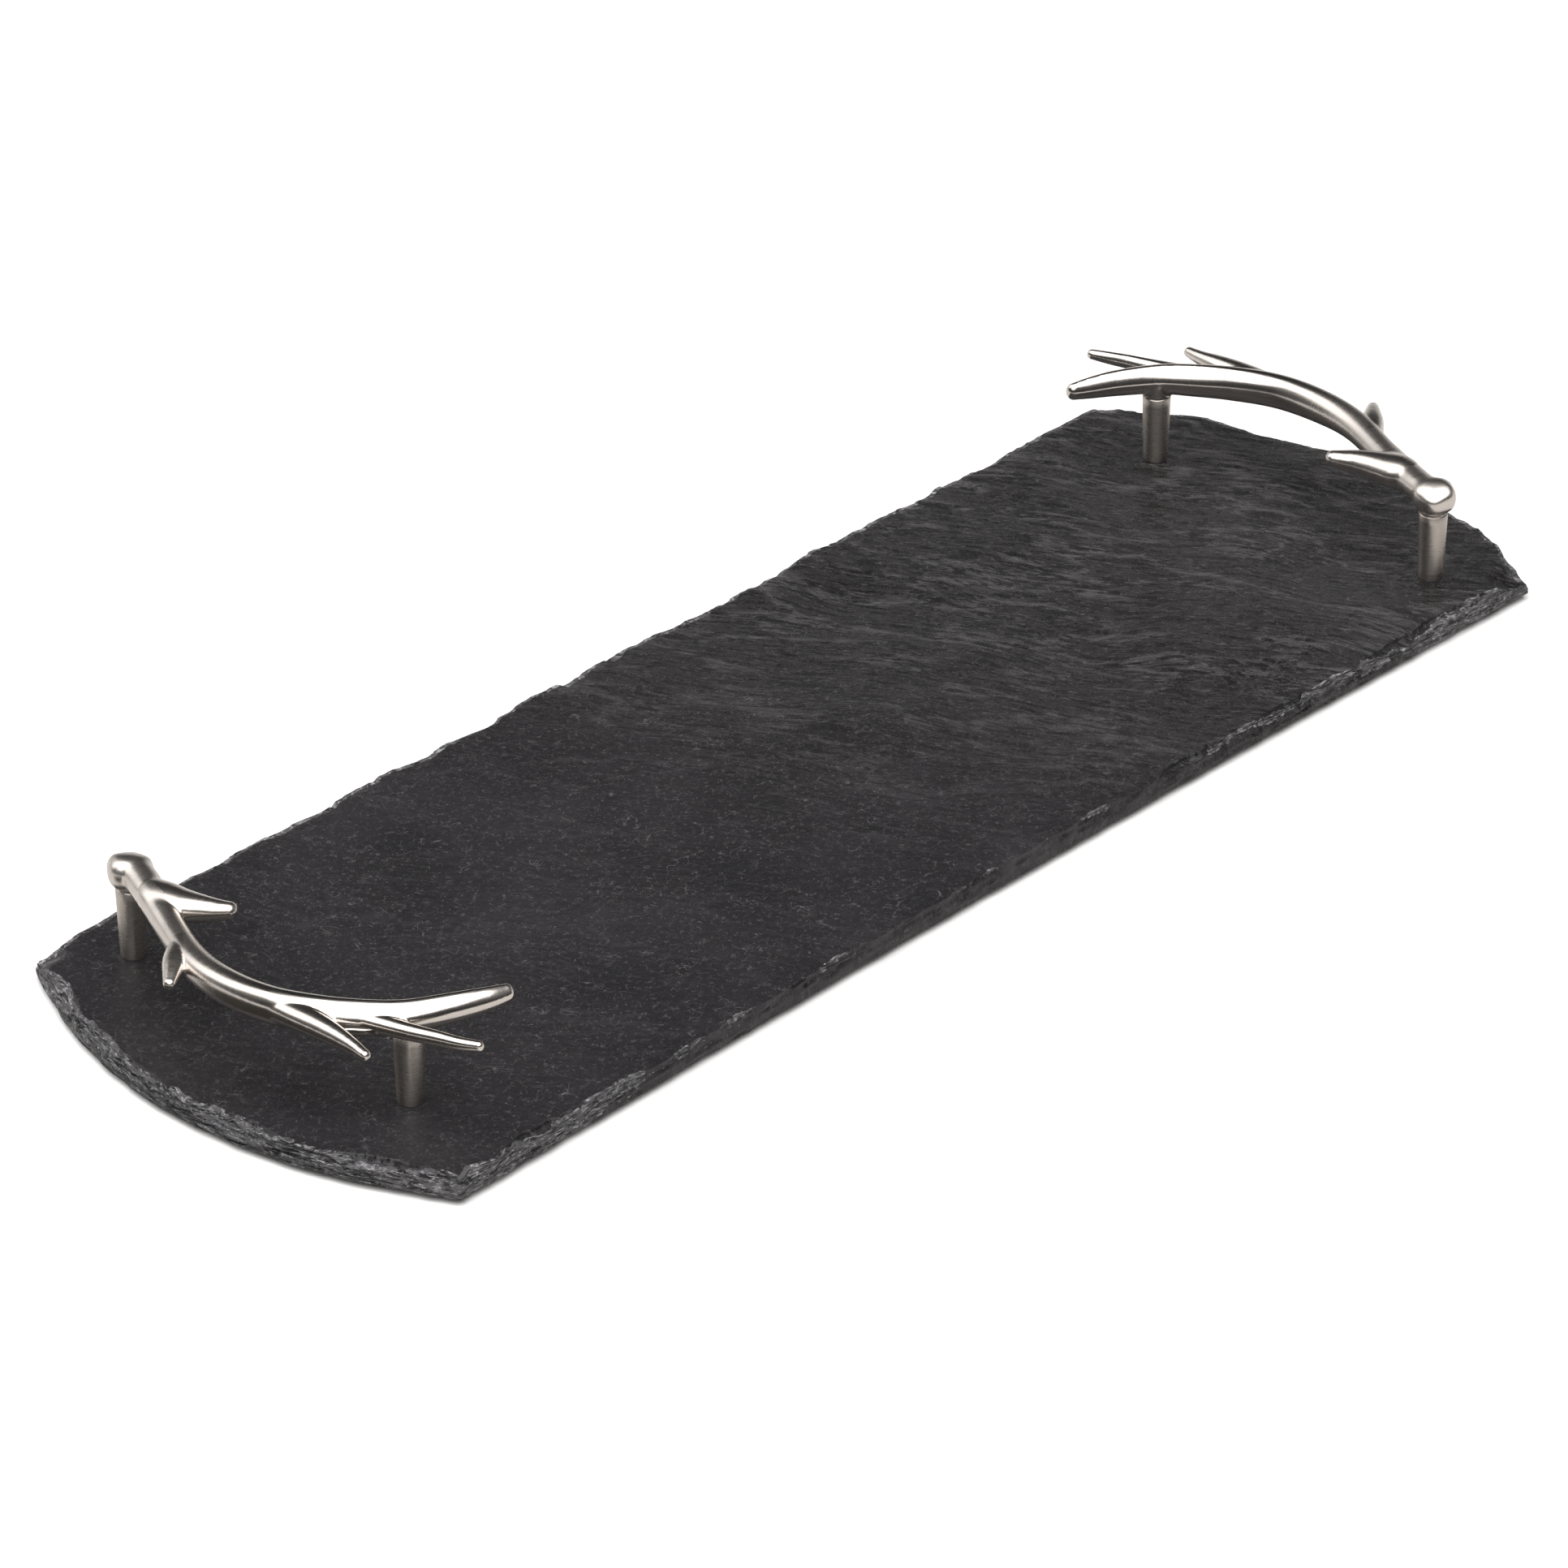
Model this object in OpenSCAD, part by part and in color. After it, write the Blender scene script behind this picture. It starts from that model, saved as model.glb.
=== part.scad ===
// Slate serving board with two cast antler handles.
// A hand-dressed slate slab lies on six rubber feet. Near each of its short, bowed ends an
// antler-shaped handle stands on two turned posts. A long screw comes up from a recess under
// the slate, through the slab and the post, and into the casting.
// X runs along the board, Y across it and +Z is up. The feet stand on Z = 0.

/* [Slate slab] */
// Length of the slab between the crowns of its bowed ends
slate_length = 600; // [520:10:700]
// Width of the slab between its long edges
slate_width = 203; // [180:1:230]
// Thickness of the slab
slate_thickness = 8; // [7:0.5:10]
// How far each short end bows out past its corners
end_bow = 29; // [15:1:40]
// How much farther the right end runs out at its front corner than at its middle
right_end_skew = 3.5; // [0:0.5:5]
// How far from each corner its rounding starts
corner_round = 6; // [2:1:12]
// How far the front long edge is dressed back at its middle
front_hollow = 3; // [0:0.5:5]
// How far the chipped upper edge is set in from the lower edge
edge_bevel = 2.4; // [1:0.2:4]
// Depth of the largest flakes struck off the upper edge
flake_depth = 2.2; // [0:0.2:4]

/* [Handle posts] */
// Distance between the two posts of one handle
post_spacing = 132; // [120:1:140]
// Distance from the crown of a bowed end to the line of its posts
post_setback = 51; // [45:1:70]
// Shift of each pair of posts along the end, towards the burr
post_shift = 10; // [0:0.5:14]
// Height of a post between the slate and the casting
post_height = 26.5; // [22:0.5:34]
// Diameter of a post where it stands on the slate
post_foot_d = 9.2; // [8:0.1:10]
// Diameter of a post where it carries the casting
post_head_d = 10.6; // [10:0.1:11.5]
// Chamfer round both ends of a post
post_chamfer = 0.3; // [0.1:0.1:0.6]

/* [Antler casting] */
// How far the beam bows out past the line of the posts
beam_bow = 27; // [20:1:32]
// Width of the beam at its widest
beam_width = 11.4; // [10:0.2:13]
// Depth of the beam at its deepest
beam_depth = 13; // [11:0.2:14]
// Height of the beam's middle above the top of the posts, over the burr post
beam_rise = 7.4; // [6.5:0.1:8.5]
// Distance that the main tip turns in from the line of the posts
tip_reach = 31; // [24:1:36]
// Diameter of the burr, the knob at the thick end of the antler
burr_d = 15.2; // [14.6:0.2:17]
// Height of the burr
burr_height = 12.6; // [12:0.2:14]
// Length of the brow tine, which turns in over the board
brow_tine_length = 32; // [26:1:36]
// Length of the short tine, which points out near the burr
short_tine_length = 25; // [20:1:28]
// Length of the middle tine
middle_tine_length = 47; // [38:1:50]
// Length of the fork tine, beside the main tip
fork_tine_length = 48; // [38:1:52]
// Radius of the rounded point of each tine
tine_tip_r = 1.4; // [1:0.1:1.8]

/* [Screws and washers] */
// Thread diameter of the handle screws
screw_d = 4; // [3:0.5:4]
// How far a screw runs up into the casting
screw_engagement = 8.2; // [6:0.2:8.6]
// Diameter of the pan head
screw_head_d = 8; // [6:0.5:9]
// Height of the pan head
screw_head_h = 2.4; // [2:0.1:2.6]
// Outer diameter of a washer
washer_d = 11; // [10:0.5:12]
// Thickness of a washer
washer_t = 0.8; // [0.5:0.1:1]
// Radial play of a screw in the slate, the post and the washer
screw_play = 0.3; // [0.15:0.05:0.5]
// Radial play of a screw in the tapped hole of the casting
thread_play = 0.05; // [0.02:0.01:0.1]

/* [Feet] */
// Diameter of a rubber foot where it is stuck to the slate
foot_d = 12; // [9:0.5:16]
// Height of a rubber foot
foot_height = 2.5; // [2:0.5:4]
// Distance of the outer feet from the crowns of the bowed ends
foot_setback_x = 92; // [80:1:120]
// Distance of the feet from the long edges
foot_setback_y = 24; // [18:1:36]

/* [Hidden] */
round_fn = 64;

// How far a cutter runs past the face that it opens
overrun = 0.5;

// Heights, from the table up
slate_z = foot_height;
slate_top_z = slate_z + slate_thickness;
seat_z = slate_top_z + post_height;

// Plan of the posts
post_x = slate_length / 2 - post_setback;
half_spacing = post_spacing / 2;

// The recess under the slate takes the washer and the pan head with play to spare
recess_play = 0.6;
recess_d = washer_d + 2 * recess_play;
head_clearance = 0.3;
recess_depth = washer_t + screw_head_h + head_clearance;
washer_z = slate_z + recess_depth - washer_t;
screw_end_play = 0.9;
screw_length = seat_z + screw_engagement - washer_z;
bore_depth = screw_engagement + screw_end_play;

// The pan head and its hexagon socket, as shares of the head and of the shank
screw_rim_share = 0.45;
screw_crown_share = 0.72;
socket_depth_share = 0.55;
socket_r_share = 0.3;
screw_chamfer_share = 0.1;

// The taper of a foot and the roll of its lower edge, as shares of its height
foot_taper_share = 0.35;
foot_edge_share = 0.2;

// Slate outline: points along a long edge, along the run to a corner, round a corner and along
// a bowed end
edge_points = 74;
run_points = 7;
round_points = 5;
arc_points = 36;
half_length = slate_length / 2;
half_width = slate_width / 2;
corner_x = half_length - end_bow;
// Each end face is a fan about a centre, and the long edges between the two fans end here
edge_x_share = 0.87;
fan_centre_share = 0.94;
edge_x = corner_x * edge_x_share;
fan_centre_x = corner_x * fan_centre_share;

// Levels of the edge as shares of the thickness, and what each is set in as a share of the bevel
level_shares = [0, 0.13, 0.38, 0.62, 0.86, 1];
inset_shares = [0.3, 0, 0.22, 0.5, 0.8, 1];
// The least part of the set-in, and what the slow wander of the edge adds to it
least_inset_share = 0.5;
wander_share = 0.4;
// What the roughness and the flakes take off at each level
rough_shares = [0.3, 0.12, 0.3, 0.4, 0.45, 0.4];
flake_shares = [0, 0, 0.1, 0.45, 0.8, 1];
smallest_flake_share = 0.35;
flake_count = 46;
flake_half_points = 5.5;
outline_seed = 41;
flake_seed = 17;

// Antler: columns are the place along the posts' line as a share of half their spacing, plus
// towards the burr, the bow outwards as a share of the beam's bow, the height of the middle as
// a share of the beam's rise, and the width and depth as shares of the beam's own.
beam_shares = [
    [1.08, -0.1, 1, 0.86, 0.72],
    [0.98, -0.02, 0.97, 0.94, 0.78],
    [0.8, 0.15, 0.86, 0.97, 0.77],
    [0.46, 0.54, 0.66, 0.9, 0.76],
    [0.13, 0.885, 0.66, 0.96, 0.84],
    [-0.15, 0.99, 0.66, 1, 0.95],
    [-0.43, 0.92, 0.7, 1, 1],
    [-0.68, 0.66, 0.74, 0.96, 0.98],
    [-0.87, 0.34, 0.78, 0.9, 0.92],
    [-1.01, 0.0, 0.86, 0.78, 0.8]
];
// The main tip past its post: along as above, then in as a share of the tip's reach
tip_shares = [
    [-1.13, 0.44, 0.97, 0.6, 0.58],
    [-1.2, 0.78, 1.02, 0.46, 0.44],
    [-1.235, 1, 1.04, 0.38, 0.38]
];

// Tines: where each leaves the beam, as a share of the way from the burr to the main tip, then
// its run as shares of its length: along the posts' line, outwards and up, with the half width
// and half depth as shares of the beam's half width
brow_start_share = 0.177;
brow_shares = [
    [0, 0, 0, 0.9, 0.75],
    [-0.2, 0.01, 0, 1.32, 0.88],
    [-0.43, -0.05, 0, 1.18, 0.8],
    [-0.66, -0.15, 0.01, 0.76, 0.6],
    [-0.82, -0.24, 0.02, 0.54, 0.44],
    [-0.93, -0.31, 0.03, 0.4, 0.32]
];
short_start_share = 0.29;
short_shares = [
    [0, 0, 0, 0.8, 0.7],
    [-0.25, 0.35, 0.03, 0.78, 0.58],
    [-0.44, 0.6, 0.03, 0.5, 0.42],
    [-0.59, 0.79, 0.02, 0.32, 0.28]
];
middle_start_share = 0.5;
middle_shares = [
    [0, 0, 0, 0.86, 0.86],
    [-0.3, -0.01, 0.02, 0.9, 0.76],
    [-0.56, -0.01, 0.02, 0.7, 0.6],
    [-0.8, 0, 0.01, 0.42, 0.42],
    [-0.95, 0.02, 0.005, 0.26, 0.26]
];
fork_start_share = 0.63;
fork_shares = [
    [0, 0, 0, 0.7, 0.66],
    [-0.23, -0.07, 0.01, 0.64, 0.58],
    [-0.47, -0.145, 0.01, 0.47, 0.42],
    [-0.65, -0.206, 0.012, 0.35, 0.4],
    [-0.8, -0.26, 0.012, 0.28, 0.33],
    [-0.927, -0.317, 0.02, 0.23, 0.24]
];

beam_sides = 22;
beam_steps = 42;
tine_sides = 16;
tine_steps = 11;
dome_steps = 3;
burr_sides = 30;
burr_steps = 12;
// Squareness of the burr's profile: 2 is an ellipse, and more is fuller
burr_fullness = 2.4;
burr_lobes = 5;
burr_lobe_share = 0.03;
boss_share = 0.62;
boss_height = beam_rise * boss_share;

slate_colour = "#3b393b";
metal_colour = "#b9b2ab";
post_colour = "#a59e97";
steel_colour = "#c4c6c8";
rubber_colour = "#1d1d1e";

// A smooth curve through the rows of a table, u from 0 at the first row to 1 at the last
function between(a, b, c, d, t) =
    (2 * b + (c - a) * t + (2 * a - 5 * b + 4 * c - d) * t * t + (3 * b - a - 3 * c + d) * t * t * t) / 2;
function row(table, i) = table[min(max(i, 0), len(table) - 1)];
function on_curve(table, u) =
    let (
        spans = len(table) - 1,
        i = min(floor(u * spans), spans - 1)
    )
    between(row(table, i - 1), row(table, i), row(table, i + 1), row(table, i + 2), u * spans - i);

// Rows of the beam in millimetres: place, half width and half depth
function beam_row(s) = [
    -s[1] * beam_bow, s[0] * half_spacing, s[2] * beam_rise,
    s[3] * beam_width / 2, s[4] * beam_depth / 2
];
function tip_row(s) = [
    s[1] * tip_reach, s[0] * half_spacing, s[2] * beam_rise,
    s[3] * beam_width / 2, s[4] * beam_depth / 2
];
beam_table = concat([for (s = beam_shares) beam_row(s)], [for (s = tip_shares) tip_row(s)]);
beam_rows = [for (i = [0 : beam_steps]) on_curve(beam_table, i / beam_steps)];

// Rows of a tine that leaves the beam at a share of its run
function tine_rows(start_share, shares, length) =
    let (
        start = on_curve(beam_table, start_share),
        table = [for (s = shares) [
            start[0] - s[1] * length, start[1] + s[0] * length, start[2] + s[2] * length,
            s[3] * beam_width / 2, s[4] * beam_width / 2
        ]]
    )
    [for (i = [0 : tine_steps]) on_curve(table, i / tine_steps)];

function unit(v) = v / norm(v);
function place(r) = [r[0], r[1], r[2]];
function heading(rows, i) = unit(place(row(rows, i + 1)) - place(row(rows, i - 1)));
function sideways(t) = unit(cross([0, 0, 1], t));

// A rounded end past the last row, as rows that shrink to nothing
function domed(rows, tip_r) =
    let (
        last = rows[len(rows) - 1],
        t = heading(rows, len(rows) - 1)
    )
    concat(rows, [for (k = [1 : dome_steps])
        let (
            turn = 90 * k / (dome_steps + 1),
            p = place(last) + t * tip_r * sin(turn)
        )
        [p[0], p[1], p[2], last[3] * cos(turn), last[4] * cos(turn)]]);

// Side and cap faces of rings that follow each other, with one point at each end
function skin_faces(rings, sides) =
    let (
        first_pole = rings * sides,
        last_pole = first_pole + 1,
        last_ring = (rings - 1) * sides
    )
    concat(
        [for (r = [0 : rings - 2]) for (k = [0 : sides - 1])
            [r * sides + k, (r + 1) * sides + k, r * sides + (k + 1) % sides]],
        [for (r = [0 : rings - 2]) for (k = [0 : sides - 1])
            [r * sides + (k + 1) % sides, (r + 1) * sides + k, (r + 1) * sides + (k + 1) % sides]],
        [for (k = [0 : sides - 1]) [first_pole, k, (k + 1) % sides]],
        [for (k = [0 : sides - 1]) [last_pole, last_ring + (k + 1) % sides, last_ring + k]]
    );

// A limb of the antler: an oval swept along its rows and rounded at its point
module limb(rows, sides, tip_r) {
    whole = domed(rows, tip_r);
    count = len(whole);
    tip = place(rows[len(rows) - 1]) + heading(rows, len(rows) - 1) * tip_r;
    rings = [for (i = [0 : count - 1])
        let (
            t = heading(rows, min(i, len(rows) - 1)),
            n = sideways(t),
            w = cross(t, n)
        )
        for (k = [0 : sides - 1])
            let (a = 360 * k / sides)
            place(whole[i]) + n * whole[i][3] * cos(a) + w * whole[i][4] * sin(a)];
    polyhedron(points = concat(rings, [place(rows[0])], [tip]), faces = skin_faces(count, sides));
}

// The burr is a full, faintly lobed bun round the thick end of the beam
module burr() {
    function power(v) = sign(v) * pow(abs(v), 2 / burr_fullness);
    rings = [for (i = [1 : burr_steps - 1])
        let (
            up = -90 + 180 * i / burr_steps,
            r = burr_d / 2 * power(cos(up)),
            z = burr_height / 2 * (1 + power(sin(up)))
        )
        for (k = [0 : burr_sides - 1])
            let (
                a = 360 * k / burr_sides,
                lobed = r * (1 - burr_lobe_share * (1 + cos(burr_lobes * a)))
            )
            [lobed * cos(a), lobed * sin(a), z]];
    polyhedron(
        points = concat(rings, [[0, 0, 0]], [[0, 0, burr_height]]),
        faces = skin_faces(burr_steps - 1, burr_sides)
    );
}

// One antler casting, with the middle of its posts' line at the origin and its seats on Z = 0
module antler() {
    difference() {
        union() {
            limb(beam_rows, beam_sides, tine_tip_r);
            limb(tine_rows(brow_start_share, brow_shares, brow_tine_length), tine_sides, tine_tip_r);
            limb(tine_rows(short_start_share, short_shares, short_tine_length), tine_sides, tine_tip_r);
            limb(tine_rows(middle_start_share, middle_shares, middle_tine_length), tine_sides, tine_tip_r);
            limb(tine_rows(fork_start_share, fork_shares, fork_tine_length), tine_sides, tine_tip_r);
            translate([0, half_spacing, 0]) burr();
            for (side = [-1, 1]) {
                translate([0, side * half_spacing, 0])
                    cylinder(h = boss_height, d = post_head_d, $fn = round_fn);
            }
        }
        for (side = [-1, 1]) {
            translate([0, side * half_spacing, -overrun])
                cylinder(h = bore_depth + overrun, r = screw_d / 2 + thread_play, $fn = round_fn);
        }
    }
}

// Puts what belongs to the left end in its place, and turns it half round for the right end
module at_end(end) {
    rotate([0, 0, end == "left" ? 0 : 180]) translate([-post_x, post_shift, 0]) children();
}

// Puts what belongs to one post of an end in its place
module at_post(end, post) {
    at_end(end) translate([0, post == "burr" ? half_spacing : -half_spacing, 0]) children();
}

module antler_handle(end) {
    color(metal_colour) at_end(end) translate([0, 0, seat_z]) antler();
}

// A turned sleeve, wider at its head, that the screw runs through
module post() {
    foot_r = post_foot_d / 2;
    head_r = post_head_d / 2;
    bore_r = screw_d / 2 + screw_play;
    color(post_colour) translate([0, 0, slate_top_z]) rotate_extrude($fn = round_fn) polygon([
        [bore_r, 0],
        [foot_r - post_chamfer, 0],
        [foot_r, post_chamfer],
        [head_r, post_height - post_chamfer],
        [head_r - post_chamfer, post_height],
        [bore_r, post_height]
    ]);
}

// A pan head below the washer, with a plain shank in place of the thread
module screw() {
    head_r = screw_head_d / 2;
    rim_h = screw_head_h * screw_rim_share;
    crown_r = head_r * screw_crown_share;
    socket_r = screw_d * socket_r_share;
    socket_depth = screw_head_h * socket_depth_share;
    end_chamfer = screw_d * screw_chamfer_share;
    color(steel_colour) translate([0, 0, washer_z]) difference() {
        rotate_extrude($fn = round_fn) polygon([
            [0, -screw_head_h],
            [crown_r, -screw_head_h],
            [head_r, -rim_h],
            [head_r, 0],
            [screw_d / 2, 0],
            [screw_d / 2, screw_length - end_chamfer],
            [screw_d / 2 - end_chamfer, screw_length],
            [0, screw_length]
        ]);
        translate([0, 0, -screw_head_h - overrun])
            cylinder(h = socket_depth + overrun, r = socket_r, $fn = 6);
    }
}

module washer() {
    color(steel_colour) translate([0, 0, washer_z]) difference() {
        cylinder(h = washer_t, d = washer_d, $fn = round_fn);
        translate([0, 0, -overrun])
            cylinder(h = washer_t + 2 * overrun, r = screw_d / 2 + screw_play, $fn = round_fn);
    }
}

// A tapered rubber bumper, stuck to the underside of the slate
module foot(column, side) {
    foot_taper = foot_height * foot_taper_share;
    foot_edge = foot_height * foot_edge_share;
    foot_r = foot_d / 2;
    x = column * (half_length - foot_setback_x);
    y = side * (half_width - foot_setback_y);
    color(rubber_colour) translate([x, y, 0]) rotate_extrude($fn = round_fn) polygon([
        [0, 0],
        [foot_r - foot_taper - foot_edge, 0],
        [foot_r - foot_taper, foot_edge],
        [foot_r, foot_height],
        [0, foot_height]
    ]);
}

// Outline of the slate, counter-clockwise from the left end of the front edge. side is -1 for
// the front edge and 1 for the back, and end is -1 for the left end and 1 for the right.
function edge_point(x, side) =
    [x, side * half_width + (side < 0 ? front_hollow * max(0, 1 - pow(x / corner_x, 2)) : 0)];
function arc_point(end, t) =
    [end * (half_length - end_bow * t * t) - (end > 0 ? right_end_skew * t : 0), end * half_width * t];
function bend(a, corner, b, t) = a * (1 - t) * (1 - t) + corner * 2 * t * (1 - t) + b * t * t;
function end_outline(end) =
    let (
        arc_cut = corner_round / norm([2 * end_bow, half_width]),
        first = arc_point(end, -1),
        last = arc_point(end, 1),
        first_x = first[0] - end * corner_round,
        last_x = last[0] - end * corner_round,
        start_x = end * edge_x
    )
    concat(
        [for (i = [1 : run_points]) edge_point(start_x + (first_x - start_x) * i / run_points, -end)],
        [for (i = [1 : round_points - 1])
            bend(edge_point(first_x, -end), first, arc_point(end, arc_cut - 1), i / round_points)],
        [for (i = [0 : arc_points]) arc_point(end, (1 - arc_cut) * (2 * i / arc_points - 1))],
        [for (i = [1 : round_points - 1])
            bend(arc_point(end, 1 - arc_cut), last, edge_point(last_x, end), i / round_points)],
        [for (i = [1 : run_points]) edge_point(last_x + (start_x - last_x) * (i - 1) / run_points, end)]
    );
front_edge = [for (i = [0 : edge_points]) edge_point(edge_x * (2 * i / edge_points - 1), -1)];
back_edge = [for (p = front_edge) edge_point(-p[0], 1)];
outline = concat(front_edge, end_outline(1), back_edge, end_outline(-1));
outline_count = len(outline);
end_count = len(end_outline(1));

// Roughness of the dressed edge, a share from 0 to 1 at each point, and the same smoothed
function wrapped(list, i) = list[(i + len(list)) % len(list)];
rough = rands(0, 1, outline_count, outline_seed);
smooth_rough = [for (i = [0 : outline_count - 1])
    (wrapped(rough, i - 1) + 2 * rough[i] + wrapped(rough, i + 1)) / 4];

// Flakes: where each is centred, how long it is and how deep, as shares
flake_at = rands(0, 1, flake_count, flake_seed);
flake_size = rands(smallest_flake_share, 1, flake_count, flake_seed + 1);
function flake_reach(i, f) =
    let (
        gap = abs(i - flake_at[f] * outline_count),
        wrapped_gap = min(gap, outline_count - gap),
        part = wrapped_gap / (flake_half_points * flake_size[f])
    )
    part < 1 ? flake_size[f] * sqrt(1 - part * part) : 0;
flakes = [for (i = [0 : outline_count - 1]) max([for (f = [0 : flake_count - 1]) flake_reach(i, f)])];

function inward(i) =
    let (step = unit(wrapped(outline, i + 1) - wrapped(outline, i - 1)))
    [-step[1], step[0]];
function set_in(i, level) =
    edge_bevel * inset_shares[level] * (least_inset_share + wander_share * smooth_rough[i])
    + edge_bevel * rough_shares[level] * rough[i]
    + flake_depth * flake_shares[level] * flakes[i];

module slate_slab() {
    levels = len(level_shares);
    rings = [for (level = [0 : levels - 1]) for (i = [0 : outline_count - 1])
        let (p = outline[i] + inward(i) * set_in(i, level))
        [p[0], p[1], slate_z + slate_thickness * level_shares[level]]];
    centres = [for (z = [slate_z, slate_top_z]) for (side = [1, -1]) [side * fan_centre_x, 0, z]];
    top = (levels - 1) * outline_count;
    first_centre = levels * outline_count;
    // Points between which each end's fan and the ladder across the middle run
    right_first = edge_points;
    back_first = right_first + end_count + 1;
    left_first = back_first + edge_points;
    walls = [for (level = [0 : levels - 2]) for (i = [0 : outline_count - 1])
        let (
            a = level * outline_count + i,
            b = level * outline_count + (i + 1) % outline_count,
            up = outline_count
        )
        each [[a, a + up, b], [b, a + up, b + up]]];
    function fan(start, count, base, centre) = concat(
        [for (i = [0 : count - 1])
            [base + (start + i) % outline_count, base + (start + i + 1) % outline_count, centre]],
        [[base + (start + count) % outline_count, base + start, centre]]
    );
    function ladder(base) = [for (i = [0 : edge_points - 1])
        let (
            a = base + i,
            b = base + i + 1,
            c = base + left_first - i - 1,
            d = base + left_first - i
        )
        each [[a, b, c], [a, c, d]]];
    floor_faces = concat(
        fan(right_first, end_count + 1, 0, first_centre),
        fan(left_first, end_count + 1, 0, first_centre + 1),
        ladder(0)
    );
    top_faces = concat(
        fan(right_first, end_count + 1, top, first_centre + 2),
        fan(left_first, end_count + 1, top, first_centre + 3),
        ladder(top)
    );
    polyhedron(
        points = concat(rings, centres),
        faces = concat(walls, floor_faces, [for (f = top_faces) [f[0], f[2], f[1]]])
    );
}

module slate_board() {
    color(slate_colour) difference() {
        slate_slab();
        for (end = ["left", "right"]) {
            for (post = ["burr", "tip"]) {
                at_post(end, post) {
                    translate([0, 0, slate_z - overrun])
                        cylinder(h = recess_depth + overrun, d = recess_d, $fn = round_fn);
                    translate([0, 0, slate_z])
                        cylinder(
                            h = slate_thickness + overrun, r = screw_d / 2 + screw_play, $fn = round_fn
                        );
                }
            }
        }
    }
}

slate_board();
antler_handle("left");  // left_antler_handle
antler_handle("right");  // right_antler_handle
at_post("left", "burr") post();  // left_burr_post
at_post("left", "tip") post();  // left_tip_post
at_post("right", "burr") post();  // right_burr_post
at_post("right", "tip") post();  // right_tip_post
at_post("left", "burr") screw();  // left_burr_screw
at_post("left", "tip") screw();  // left_tip_screw
at_post("right", "burr") screw();  // right_burr_screw
at_post("right", "tip") screw();  // right_tip_screw
at_post("left", "burr") washer();  // left_burr_washer
at_post("left", "tip") washer();  // left_tip_washer
at_post("right", "burr") washer();  // right_burr_washer
at_post("right", "tip") washer();  // right_tip_washer
foot(-1, -1);  // foot_front_left
foot(0, -1);  // foot_front_middle
foot(1, -1);  // foot_front_right
foot(-1, 1);  // foot_back_left
foot(0, 1);  // foot_back_middle
foot(1, 1);  // foot_back_right
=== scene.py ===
"""Looks of a slate serving board with two cast antler handles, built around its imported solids.

Sizes whose names end in _mm are millimetres, and every finished piece is in metres.
X runs along the board, Y across it and +Z is up.
"""

import logging
import math
from dataclasses import dataclass
from enum import Enum
from functools import partial
from typing import Any, Callable, Sequence

import bpy
import numpy as np
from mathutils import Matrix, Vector, noise


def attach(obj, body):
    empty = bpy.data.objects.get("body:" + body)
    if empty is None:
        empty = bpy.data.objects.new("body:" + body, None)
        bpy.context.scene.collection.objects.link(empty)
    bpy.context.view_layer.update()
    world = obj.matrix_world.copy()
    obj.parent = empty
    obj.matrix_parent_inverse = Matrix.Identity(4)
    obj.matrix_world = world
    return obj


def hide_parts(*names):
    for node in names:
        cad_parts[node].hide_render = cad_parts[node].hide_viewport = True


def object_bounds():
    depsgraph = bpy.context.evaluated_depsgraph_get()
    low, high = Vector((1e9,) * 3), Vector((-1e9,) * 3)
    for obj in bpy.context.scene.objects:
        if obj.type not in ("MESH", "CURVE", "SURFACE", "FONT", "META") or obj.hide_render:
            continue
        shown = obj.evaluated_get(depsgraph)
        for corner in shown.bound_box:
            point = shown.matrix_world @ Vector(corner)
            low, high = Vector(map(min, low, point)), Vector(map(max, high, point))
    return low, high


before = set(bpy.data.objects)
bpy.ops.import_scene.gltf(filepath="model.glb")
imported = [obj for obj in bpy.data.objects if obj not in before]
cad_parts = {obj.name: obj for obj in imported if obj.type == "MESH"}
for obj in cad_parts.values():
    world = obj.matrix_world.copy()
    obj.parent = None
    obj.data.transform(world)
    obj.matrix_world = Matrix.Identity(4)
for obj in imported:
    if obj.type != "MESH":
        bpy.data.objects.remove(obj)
CAD_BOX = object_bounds()

MM = 0.001
BODY = "root"
# Inputs of a colour Mix node, by number because its other kinds have inputs of the same names
FACTOR, COLOUR_A, COLOUR_B = 0, 6, 7
log = logging.getLogger("serving_board")

NodeAdder = Callable[..., bpy.types.Node]
# What feeds an input, and what a column of points is given as
Source = bpy.types.Node | bpy.types.NodeSocket
Numbers = float | np.ndarray


class End(Enum):
    """The two short ends of the board, with the turn that brings the left end's parts there."""

    LEFT = "left"
    RIGHT = "right"

    @property
    def sign(self) -> float:
        """1 at the left end, and -1 at the right end, where everything is turned half round."""
        return 1.0 if self is End.LEFT else -1.0


class Post(Enum):
    """The two posts of one handle, named for what they carry."""

    BURR = "burr"
    TIP = "tip"

    @property
    def side(self) -> float:
        """1 for the post under the burr, and -1 for the one under the main tip."""
        return 1.0 if self is Post.BURR else -1.0


class Side(Enum):
    """The four sides of the slab, whose values also pick each side's own noise."""

    BACK = 1
    FRONT = 2
    RIGHT_END = 3
    LEFT_END = 4


@dataclass(frozen=True)
class PostPlan:
    """Where the posts stand in plan, which the slab, the castings and the posts share."""

    end_x_mm: float = 249.0
    shift_mm: float = 10.0
    half_spacing_mm: float = 66.0

    def place(self, end: End, post: Post) -> tuple[float, float]:
        """The middle of one post, in millimetres."""
        return -end.sign * self.end_x_mm, end.sign * (self.shift_mm + post.side * self.half_spacing_mm)


PLAN = PostPlan()


# Small helpers


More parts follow.
